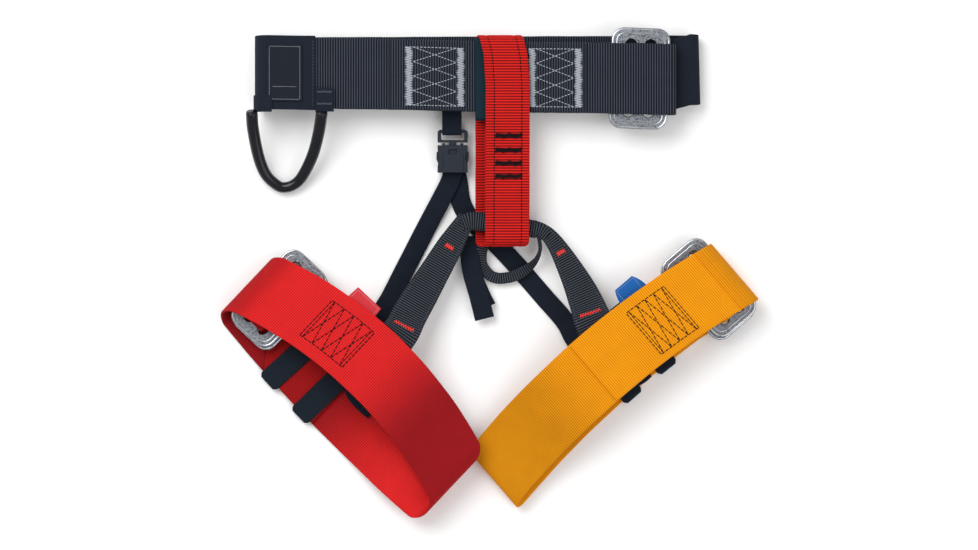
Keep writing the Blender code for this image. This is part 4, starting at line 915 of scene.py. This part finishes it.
# The bridge is a flattened tube that thins towards its ends; the small loop turns on edge as it rises.
def makeBridge():
    flat = smoothRoute([(-0.0275, 0.0505), (-0.018, 0.0530), (-0.003, 0.0520), (0.022, 0.0490),
                        (0.042, 0.0455), (0.0525, 0.0435), (0.0600, 0.0385)], 110)
    route = np.column_stack([flat, np.full(len(flat), loop["bridgeZ"])])
    s = np.linspace(0, 1, len(route))
    radius = (0.0099 - 0.0012 * smoothStep((s - 0.6) / 0.3)) * (1 - 0.22 * (2 * np.abs(s - 0.5)) ** 6)
    radius = radius * (1 + 0.018 * np.sin(s * 70) + 0.012 * np.sin(s * 31 + 1))
    settle(tubePiece("legBridge", route, radius, riserWeb, 0.38, 24), "belt", "navy_webbing", "leg_bridge")
    points = [(-0.0045, 0.0330, 0.0110), (-0.0078, 0.0200, 0.0096), (-0.0070, 0.0080, 0.0076),
              (0.0002, -0.0016, 0.0062), (0.0060, -0.0046, 0.0060), (0.0130, -0.0055, 0.0062),
              (0.0260, -0.0030, 0.0068), (0.0390, 0.0040, 0.0085), (0.0480, 0.0130, 0.0120),
              (0.0522, 0.0230, 0.0165), (0.0518, 0.0320, 0.0190), (0.0505, 0.0405, 0.0205)]
    route = smoothRoute(points, 130)
    turn = np.clip((route[:, 0] - 0.028) / 0.024, 0, 1)[:, None] * math.pi / 2 * 0.85
    across = flatAcross(route) * np.cos(turn) + np.array([[0, 0, 1.0]]) * np.sin(turn)
    bend = ("belt", "small_loop", (-0.0025, 0.0028, 0.006), (0.0029, -0.0060, 0.006))
    settle(strap("smallLoop", route, across, 0.0115, riserWeb, 0.0018, ribPitch=0.0018, ribHeight=0.00012),
           None, "navy_webbing", "accessory_loop", bend=bend)


# A leg loop is a ring along the chord from its outer to its inner fold: u runs along it, n across it.
legWidth = 0.075
keeper = {"thick": 0.0012, "room": 0.0005, "width": 0.024, "end": 0.0022}
rearZ = keeper["thick"] + keeper["room"] + web / 2
tailZ = rearZ + layer
legs = {
    "right": {"outer": (-0.2440, -0.0080), "inner": (-0.0303, -0.2098), "up": 1, "bowFront": 0.0258,
              "bowRear": -0.0070, "leanOuter": 0.014, "leanInner": 0.026, "rise": 0.0100,
              "innerLow": 0.0166, "innerHigh": 0.0330, "buckle": (0.0335, 0.0070),
              "keepers": (0.0870, 0.1330), "tailEnd": 0.1455, "overlap": (0.055, 0.165), "overlapSide": -1,
              "riserLayers": 2, "box": (0.0755, 0.1295, 0.0, 0.024),
              "tag": ((0.084, 0.118), (0.050, 0.0725))},
    "left": {"outer": (0.2515, 0.0020), "inner": (0.0030, -0.2110), "up": -1, "bowFront": 0.016,
             "bowRear": 0.013, "leanOuter": 0.001, "leanInner": 0.005, "rise": 0.0040, "innerLow": 0.0,
             "innerHigh": 0.0135, "buckle": (0.0310, 0.0042), "keepers": (0.1146, 0.1625),
             "tailEnd": 0.1755, "overlap": (0.022, 0.178), "overlapSide": 1, "riserLayers": 1,
             "box": (0.0665, 0.1135, -0.0015, 0.0275), "tag": ((0.078, 0.112), (0.038, 0.0662))}}
legPlate = {"size": (0.055, 0.100), "pitch": 0.019, "slot": 0.0112, "lift": 0.0070}
foldHeight, foldDepth = 0.033, 0.010


# The outer fold, the directions along the chord and across it, and the chord's length.
def legAxes(leg):
    outer, inner = np.array(leg["outer"]), np.array(leg["inner"])
    length = float(np.linalg.norm(inner - outer))
    along = (inner - outer) / length
    return outer, along, np.array([-along[1], along[0]]) * leg["up"], length


# outer + u * along + n * out, at height z.
def legPoint(leg, u, n, z):
    outer, along, out, _ = legAxes(leg)
    xy = outer + np.outer(np.atleast_1d(u), along) + np.outer(np.atleast_1d(n), out)
    return np.column_stack([xy, np.broadcast_to(z, len(xy))])


# Sideways place of a band: a parabola bow, less a lean that grows along the chord on the rear band.
def legShift(leg, u, w):
    length = legAxes(leg)[3]
    q = 4 * (u / length) * (1 - u / length)
    rear = leg["bowRear"] * q - (leg["leanOuter"] + (leg["leanInner"] - leg["leanOuter"]) * u / length)
    return w * leg["bowFront"] * q + (1 - w) * rear


# 0 along most of the loop and 1 at its inner end, where the loop's own heights take over.
def legRamp(leg, u):
    return smoothStep((u / legAxes(leg)[3] - 0.60) / 0.33)


# The rear band lies level and rises with the ramp to the inner end's own height.
def legRearZ(leg, u):
    return rearZ + leg["innerLow"] * legRamp(leg, u)


# The fold's height, led by the ramp to the inner end's, with a crown of rise * sin^2 between the folds.
def legFrontZ(leg, u):
    length = legAxes(leg)[3]
    share = np.clip((u - foldDepth) / (length - 2 * foldDepth), 0, 1)
    high = rearZ + foldHeight
    inner = (rearZ + leg["innerHigh"] - high) * legRamp(leg, u)
    return high + inner + leg["rise"] * np.sin(math.pi * share) ** 2


# Front band, inner fold, rear band and outer fold, with each point's share of the chord and its band (1 on
# the front one, 0 on the rear one).
def legRing(leg):
    length = legAxes(leg)[3]
    edge = web / 2
    u = np.linspace(edge + foldDepth + 0.002, length - edge - foldDepth - 0.002, 120)
    front = np.stack([u, legFrontZ(leg, u)], axis=1)
    innerU, outerU = length - edge - foldDepth, edge + foldDepth
    high, low = float(legFrontZ(leg, innerU)), float(legRearZ(leg, innerU))
    inner = halfTurn(innerU, (high + low) / 2, foldDepth, (high - low) / 2, 1, 25)
    back = np.linspace(innerU - 0.004, outerU + 0.004, 100)
    rear = np.stack([back, legRearZ(leg, back)], axis=1)
    outer = halfTurn(outerU, rearZ + foldHeight / 2, foldDepth, foldHeight / 2, -1, 25)[::-1]
    ring = np.vstack([front, inner, rear, outer])
    w = np.r_[np.ones(len(u)), (inner[:, 1] - low) / (high - low), np.zeros(len(back)),
              (outer[:, 1] - rearZ) / foldHeight]
    return legPoint(leg, ring[:, 0], legShift(leg, ring[:, 0], w), ring[:, 1]), ring[:, 0] / length, w


# The band, its second layer, the tail over both plates, the plates, the keepers, the stitching and the tag.
def makeLeg(side, outside, inside, slot, innerSlot):
    leg = legs[side]
    body = side + "_leg"
    _, along, out, _ = legAxes(leg)
    across = (*out, 0)
    route, share, front = legRing(leg)
    # Front band: painted shade, darker towards the inner fold as it curves from the light (with a darker
    # dye there), and near the outer fold.
    deep = front * (0.95 * smoothStep((share - 0.50) / 0.30) + 0.6 * smoothStep((0.10 - share) / 0.09))
    if side == "right":
        # Painted shade like the tail's: the right leg's rear band, under the front band, is darker towards
        # its outer end.
        deep = deep + (1 - front) * (0.95 - 0.85 * smoothStep((share - 0.42) / 0.34))
    smooth = smoothStep((share - 0.70) / 0.20)
    band = strap(side + "LegBand", route, across, legWidth, outside, closed=True,
                 shadeAndDye=np.clip(deep, 0, 1), fade=smooth)
    settle(band, body, slot, side + "_leg_band")
    u = np.linspace(*leg["overlap"], 60)
    z = legFrontZ(leg, u) + leg["overlapSide"] * layer
    over = strap(side + "LegOverlap", legPoint(leg, u, legShift(leg, u, 1), z), across,
                 legWidth - 0.0006, outside)
    settle(over, body, slot, side + "_leg_overlap")

    frameZ = tailZ + web / 2 + legPlate["lift"] + plate["thick"] / 2
    sliderZ = frameZ + plate["thick"] + plate["room"]
    overZ = sliderZ + plate["thick"] / 2 + plate["room"] + web / 2
    u0, n0 = leg["buckle"]
    a, b = u0 - legPlate["pitch"] / 2, u0 + legPlate["pitch"] / 2
    run = np.linspace(b + 0.018, leg["tailEnd"], 40)
    flat = np.vstack([[(a - 0.008, tailZ)], overBar(a, b, tailZ, overZ), [(b + 0.010, tailZ)],
                      np.column_stack([run, np.full(40, tailZ)])])
    flat = evenRoute(flat, 420)
    share = smoothStep((flat[:, 0] - b - 0.004) / 0.030)
    n = n0 * (1 - share) + legShift(leg, flat[:, 0], 0) * share
    tail = strap(side + "LegTail", legPoint(leg, flat[:, 0], n, flat[:, 1]), across, legWidth - 0.0006,
                 inside)
    settle(tail, body, innerSlot, side + "_leg_tail")

    def place(x, y, z):
        return legPoint(leg, u0 + x, n0 + y, z)

    def placeLower(x, y, z):
        return legPoint(leg, u0 + x + 0.0030, n0 + y - 0.0015, z)

    plateBuckle(side + "FramePlate", body, side + "_frame_plate", legPlate["size"], legPlate["pitch"],
                legPlate["slot"], frameZ, placeLower)
    plateBuckle(side + "SliderPlate", side + "_slider", side + "_slider_plate", legPlate["size"],
                legPlate["pitch"], legPlate["slot"], sliderZ, place)

    makeKeepers(side, leg, along, out)
    legStitching(side, leg, band if leg["overlapSide"] < 0 else over)
    legTag(side, leg)


# Elastic rings round the rear band and its tail, square to the band where they sit, narrower at their ends.
def makeKeepers(side, leg, along, out):
    half, middle = legWidth / 2, keeper["thick"] / 2
    reach = half + 0.0011 + keeper["thick"] + keeper["end"]
    low, high = rearZ - web / 2 - keeper["room"], tailZ + web / 2 + keeper["room"]
    ring = stadium(-reach, reach, low - middle, high + middle, 11)
    narrow = 1 - 0.22 * np.clip((np.abs(ring[:, 0]) - half) / 0.0040, 0, 1) ** 2
    for k, u in enumerate(leg["keepers"], 1):
        drift = float(legShift(leg, u + 0.002, 0) - legShift(leg, u - 0.002, 0)) / 0.004
        n = legShift(leg, u, 0) + ring[:, 0] / math.sqrt(1 + drift ** 2)
        route = legPoint(leg, u - drift * ring[:, 0], n, ring[:, 1])
        made = strap("%sKeeper%d" % (side, k), route, np.append(along + drift * out, 0),
                     keeper["width"] * narrow, elasticWeb, keeper["thick"], closed=True,
                     ribHeight=0.00005, ribPitch=0.0012, reach=1)
        settle(made, "%s_%s_keeper" % (side, ("outer", "inner")[k - 1]), "elastic",
               "%s_keeper_%d" % (side, k))


# The box on the front band: a frame, doubled at its ends, with two crossing zigzags of four strokes inside.
def legStitching(side, leg, made):
    u0, u1, middle, half = leg["box"]
    places = [legPoint(leg, u, middle + float(legShift(leg, u, 1)), 0.0)[0] for u in (u0, u1)]
    (s0, w0), (s1, w1) = (whereOn(made, p[0], p[1], above=0.025) for p in places)
    face = 1.0 if made["normal"][np.argmin(np.abs(made["s"] - s0)), 2] > 0 else -1.0
    lift = 0.0002

    # (t, h) in the box, t 0..1 along it and h -1..1 across, as (s, w) on the strap
    def at(t, h):
        return s0 + (s1 - s0) * t, w0 + (w1 - w0) * t + h * half

    runs = [(at(0, h), at(1, h)) for h in (-1, 1)]
    runs += [(at(t, -1), at(t, 1)) for t in (0, 0.06, 0.94, 1)]
    runs += [(at(0.06 + 0.22 * k, flip * (-1) ** k), at(0.28 + 0.22 * k, flip * (-1) ** (k + 1)))
             for flip in (1, -1) for k in range(4)]
    parts = [stitchLine(made, run, 0.0042, 0.0005, lift, face) for run in runs]
    stitches(side + "BoxStitch", side + "_leg", *gather(parts), blackThread, 0.00066)


# A woven tag: a thin folded strip out from under the band's upper edge, with its border stitched.
def legTag(side, leg):
    (u0, u1), (n0, n1) = leg["tag"]
    drop = (2 if leg["overlapSide"] < 0 else 1) * layer + web / 2 - gap + 0.0012
    u = (u0 + u1) / 2
    z = float(legFrontZ(leg, u)) - drop
    n = np.linspace(n0, n1 - 0.001, 24)
    across = np.append(legAxes(leg)[1], 0)
    width = (u1 - u0) * (1 - (0.06 if side == "right" else 0.34) * np.linspace(0, 1, 24) ** 3)
    tag = strap(side + "Tag", legPoint(leg, np.full(24, u), n, z), across, width,
                redTagWeb if side == "right" else blueTagWeb, 0.0008, ribHeight=0.00002, ribPitch=0.0008,
                stations=60)
    settle(tag, side + "_leg", "red_tag" if side == "right" else "blue_tag", side + "_tag")
    half = (u1 - u0) / 2 * (0.84 if side == "right" else 0.66)
    end = tag["length"] - 0.0022
    border = stitchLine(tag, [(0.002, -half), (end, -half), (end, half), (0.002, half)], 0.0014, 0.0007,
                        0.0001, float(np.sign(tag["normal"][5, 2])))
    stitches(side + "TagBorder", side + "_leg", *border, greyThread, 0.0003)


# Each riser and rear strap is one piece that crosses its leg's fold line.
folds = {"right": {"point": (-0.062, -0.010), "across": (0.680, 0.733)},
         "left": {"point": (0.096, -0.018), "across": (-0.658, 0.753)}}
splitZ = 0.0240        # height of both risers at their fold lines


# The bend runs 12 mm to each side of the line, from the belt's body to the leg's.
def bendOf(side):
    point = np.array([*folds[side]["point"], splitZ])
    step = np.array([*folds[side]["across"], 0.0]) * 0.012
    return ("belt", side + "_leg", tuple(point + step), tuple(point - step))


# The riser's last two points, tucked under the front band's upper edge; run is how far it drifts along.
def riserEnd(leg, u, run):
    level = float(legFrontZ(leg, u)) - leg["riserLayers"] * layer - gap
    edge = legWidth / 2 + float(legShift(leg, u, 1))
    points = legPoint(leg, np.array([u, u + run]), np.array([edge + 0.004, edge - 0.020]), level)
    points[0, 2] -= 0.0008
    return [tuple(points[0]), tuple(points[1])]


# The level direction square to a route.
def flatAcross(route):
    flat = np.cross((0, 0, 1), np.gradient(route, axis=0))
    return flat / np.linalg.norm(flat, axis=1)[:, None]


# Webbing that widens from the bridge to the leg loop, stitched along both edges, with a bar at each end.
def makeRisers():
    z = loop["bridgeZ"]
    routes = {
        "right": ([(-0.0225, 0.0565, z), (-0.0305, 0.0435, z), (-0.042, 0.024, z + 0.0006),
                   (-0.062, -0.010, splitZ), (-0.080, -0.041, splitZ + 0.0060)]
                  + riserEnd(legs["right"], 0.1480, 0.001),
                  [0.018, 0.027, 0.031, 0.035, 0.037, 0.040]),
        "left": ([(0.0500, 0.0455, z), (0.0600, 0.0395, z), (0.0720, 0.0235, z + 0.0006),
                  (0.0890, -0.0075, splitZ - 0.0004), (0.0995, -0.0310, splitZ + 0.0035)]
                 + riserEnd(legs["left"], 0.1430, 0.006),
                 [0.013, 0.019, 0.026, 0.033, 0.038, 0.042])}
    for side, (points, widths) in routes.items():
        route = smoothRoute(points, 160)
        width = np.interp(np.linspace(0, 5, 160), range(6), widths)
        made = strap(side + "Riser", route, flatAcross(route), width, riserWeb, ribPitch=0.0024)
        bend = bendOf(side)
        settle(made, None, "navy_webbing", side + "_riser_top", side + "_riser_low", bend=bend)
        face = float(np.sign(made["normal"][40, 2]))
        end = made["length"] - 0.022
        s = np.linspace(0.004, end, 40)
        edge = np.interp(s, made["s"], made["width"]) / 2 - 0.0030
        parts = [stitchLine(made, np.stack([s, sign * edge], axis=1), 0.0020, 0.0016, 0.0002, face)
                 for sign in (-1, 1)]
        stitches(side + "RiserEdgeStitch", None, *gather(parts), navyThread, 0.00036, bend=bend)
        tops = [zigzag(made, (0.034 + k * 0.0016, -0.0045), (0.034 + k * 0.0016, 0.0045), 0.0018, 0.0022,
                       0.0003, face) for k in range(2)]
        piece = stitches(side + "RiserTopTack", None, *gather(tops), redThread, 0.00050, bend=bend)
        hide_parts(side + "_riser_bartack_top")
        lows = [zigzag(made, (end - 0.010, -0.011), (end - 0.010, 0.011), 0.0020, 0.0026, 0.0003, face),
                stitchLine(made, [(end - 0.010, -0.011), (end - 0.010, 0.011)], 0.0030, 0.0002, 0.0004,
                           face)]
        piece = stitches(side + "RiserLowTack", None, *gather(lows), redThread, 0.00062, bend=bend)
        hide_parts(side + "_riser_bartack_low")


# Both straps lie low from the buckle to their leg loop and climb over its keepers; then the two loose ends.
def makeRearStraps():
    low = web / 2 + 0.0003
    high = low + layer
    overKeeper = tailZ + web / 2 + keeper["room"] + keeper["thick"] + gap + web / 2
    foot = legPoint(legs["right"], np.array([0.1230, 0.1370, 0.1520, 0.1680, 0.1835]),
                    np.array([0.0480, 0.0120, -0.0075, -0.0115, -0.0110]),
                    np.array([0.0094, overKeeper, overKeeper, 0.0074, tailZ]))
    right = [(-0.0345, 0.1120, high), (-0.0400, 0.0940, high), (-0.0495, 0.0750, high),
             (-0.0570, 0.0610, high - 0.0010), (-0.0670, 0.0420, low), (-0.0860, 0.0050, low),
             (-0.1030, -0.0280, low + 0.0020)] + [tuple(p) for p in foot]
    foot = legPoint(legs["left"], np.array([0.1700, 0.1685, 0.1600, 0.1470, 0.1340]),
                    np.array([0.0500, 0.0160, -0.0060, -0.0165, -0.0175]), overKeeper)
    left = [(-0.0360, 0.1120, low), (-0.0320, 0.0940, low), (-0.0285, 0.0720, low), (-0.0180, 0.0540, low),
            (-0.0010, 0.0385, low), (0.0120, 0.0255, low), (0.0300, 0.0060, low), (0.0560, -0.0240, low),
            (0.0780, -0.0495, low + 0.0018)] + [tuple(p) for p in foot]
    for side, points in (("right", right), ("left", left)):
        route = smoothRoute(points, 240)
        made = strap(side + "RearStrap", route, flatAcross(route), 0.020, strapNavy, ribPitch=0.0014,
                     ribHeight=0.00007)
        settle(made, None, "smooth_navy", side + "_rear_strap_top", side + "_rear_strap_low",
               bend=bendOf(side))
    tails = {"back": ([(-0.0200, 0.0360), (-0.0170, 0.0000), (-0.0090, -0.0220), (-0.0022, -0.0355)],
                      low + layer + web),
             "front": ([(-0.0212, 0.0380), (-0.0180, 0.0050), (-0.0100, -0.0250), (-0.0045, -0.0470)],
                       low + 2 * layer + web)}
    for which, (points, z) in tails.items():
        flat = smoothRoute(points, 100)
        route = np.column_stack([flat, np.full(len(flat), z)])
        made = strap("strapTail" + which.capitalize(), route, flatAcross(route), 0.020, strapNavy,
                     ribPitch=0.0014, ribHeight=0.00007)
        settle(made, "belt", "navy_webbing", "strap_tail_" + which)


buckle = {"x": -0.0373, "width": 0.031, "top": 0.1310, "bottom": 0.1030, "shell": 0.0016, "cavity": 0.0048}


# The socket is a front, a back and a closed end with two ridges; the plug slides in it on its two prongs.
def makeRiserBuckle():
    z = web / 2 + 0.0001 + layer + web / 2 + plate["room"] + buckle["shell"] + buckle["cavity"] / 2
    half, x0 = buckle["width"] / 2, buckle["x"]
    low, high = z - buckle["cavity"] / 2 - buckle["shell"], z + buckle["cavity"] / 2 + buckle["shell"]

    def place(x, y, level):
        return np.stack([x0 + x, y, level], axis=1)

    def part(name, outline, bottom, top, edge, body, *nodes, holes=()):
        made = moulded(name, outline, holes, bottom, top, edge, buckleMould, place)
        settle(made, body, "buckle_plastic", *nodes)

    # sides: straight, pulled in round the prongs' finger pads
    y = np.linspace(buckle["bottom"], buckle["top"], 30)
    x = half - 0.0022 * np.exp(-((y - 0.118) / 0.005) ** 2)
    outline = np.vstack([np.stack([x, y], axis=1), np.stack([-x, y], axis=1)[::-1]])
    window = roundedOutline(0.008, 0.0045, 0.0012, (0.0, 0.1245))
    part("socketFront", outline, high - buckle["shell"], high, 0.0005, "belt", "riser_socket",
         holes=[window])
    part("socketBack", outline, low, low + buckle["shell"], 0.0005, "belt")
    end = roundedOutline(buckle["width"], 0.0035, 0.0008, (0.0, buckle["bottom"] + 0.00175))
    part("socketEnd", end, low + 0.0004, high - 0.0004, 0.0004, "belt")
    for k, shift in enumerate((-1, 1)):
        ridge = roundedOutline(0.0016, 0.017, 0.0007, (shift * 0.0105, 0.1130))
        part("socketRidge%d" % (k + 1), ridge, high - 0.0003, high + 0.0006, 0.0004, "belt")
    inner = buckle["cavity"] / 2 - 0.0004
    barLow, barHigh = 0.1340, 0.1470
    frame = [(-half, barLow), (-0.0040, barLow), (-0.0040, 0.1120), (0.0040, 0.1120), (0.0040, barLow),
             (half, barLow), (half, barHigh - 0.002), (half - 0.002, barHigh), (-half + 0.002, barHigh),
             (-half, barHigh - 0.002)]
    slot = roundedOutline(0.0235, 0.0075, 0.0014, (0.0, barHigh - 0.0068))
    part("plugBody", frame, z - inner, z + inner, 0.0005, "plug", "riser_plug", holes=[slot])
    for side, sign in (("left", -1), ("right", 1)):
        prong = np.array([(0.0080, 0.1333), (0.0080, 0.1092), (0.0105, 0.1074), (half - 0.0010, 0.1110),
                          (half + 0.0012, 0.1170), (half + 0.0010, 0.1240), (half - 0.0025, 0.1262),
                          (0.0110, 0.1255), (0.0110, 0.1333)]) * (sign, 1)
        part(side + "Prong", prong, z - inner, z + inner, 0.0004, side + "_prong", "plug_prong_" + side)
    y = barHigh - 0.0048
    flat = evenRoute([(y + 0.041, z + 0.0042), (y + 0.0015, z + 0.0042), (y, z + 0.0027), (y, z - 0.0027),
                      (y + 0.0015, z - 0.0042), (y + 0.041, z - 0.0042)], 200)
    route = np.column_stack([np.full(200, x0 - 0.0008), flat])
    settle(strap("plugStrap", route, (1, 0, 0), 0.020, strapNavy, 0.0014, ribPitch=0.0014,
                 ribHeight=0.00006), "plug", "navy_webbing", "plug_strap")


frontLayer = makeBelt()
beltBox("beltBoxRight", frontLayer, -0.0855, -0.0250, 0.2003, 0.0295)
beltBox("beltBoxLeft", frontLayer, 0.0400, 0.0950, 0.1990, 0.0295)
makeBeltCovers()
makeBeltEnd()
plateBuckle("waistFramePlate", "belt", "waist_frame_plate", waist["size"], waist["pitch"], waist["slot"],
            waistFrameZ, waistPlace)
plateBuckle("waistSliderPlate", "waist_slider", "waist_slider_plate", waist["size"], waist["pitch"],
            waist["slot"], waistSliderZ, waistPlace)
makeGearLoop()
print("belt made")
makeTieInLoop()
makeBridge()
makeRisers()
makeRearStraps()
makeRiserBuckle()
print("loop, risers and buckle made")
makeLeg("right", redWeb, redInner, "red_webbing", "red_webbing_inner")
makeLeg("left", yellowWeb, yellowWeb, "yellow_webbing", "yellow_webbing")
print("leg loops made")


# A wide sheet of white paper just under the saddle, an even white sky, two area lamps and a long lens.
def makeStudio():
    floor = bpy.data.meshes.new("floor")
    half, low = 6.0, -0.0006
    floor.from_pydata([(-half, -half, low), (half, -half, low), (half, half, low), (-half, half, low)], [],
                      [(0, 1, 2, 3)])
    paper = bpy.data.materials.new("paper")
    paper.use_nodes = True
    shader = paper.node_tree.nodes["Principled BSDF"]
    shader.inputs["Base Color"].default_value = (0.93, 0.93, 0.93, 1)
    shader.inputs["Roughness"].default_value = 0.9
    floor.materials.append(paper)
    piece = linkPiece("floor", floor)
    world = bpy.data.worlds.new("studio")
    world.use_nodes = True
    world.node_tree.nodes["Background"].inputs[0].default_value = (1, 1, 1, 1)
    world.node_tree.nodes["Background"].inputs[1].default_value = 0.62
    bpy.context.scene.world = world
    for name, place, turn, size, power in (
            ("key", (-0.9, 1.0, 1.6), (-32, -28, 0), 1.4, 32),
            ("fill", (1.1, -0.5, 1.5), (18, 36, 0), 1.6, 11)):
        light = bpy.data.lights.new(name, "AREA")
        light.size = size
        light.energy = power
        lamp = linkPiece(name, light)
        lamp.location = place
        lamp.rotation_euler = [math.radians(v) for v in turn]
    lens = bpy.data.cameras.new("camera")
    lens.sensor_width = 36
    lens.lens = 107.2
    camera = linkPiece("camera", lens)
    camera.location = (0, -0.00206, 3.0)
    bpy.context.scene.camera = camera
    bpy.context.scene.view_settings.view_transform = "Standard"


makeStudio()
print("scene ready")
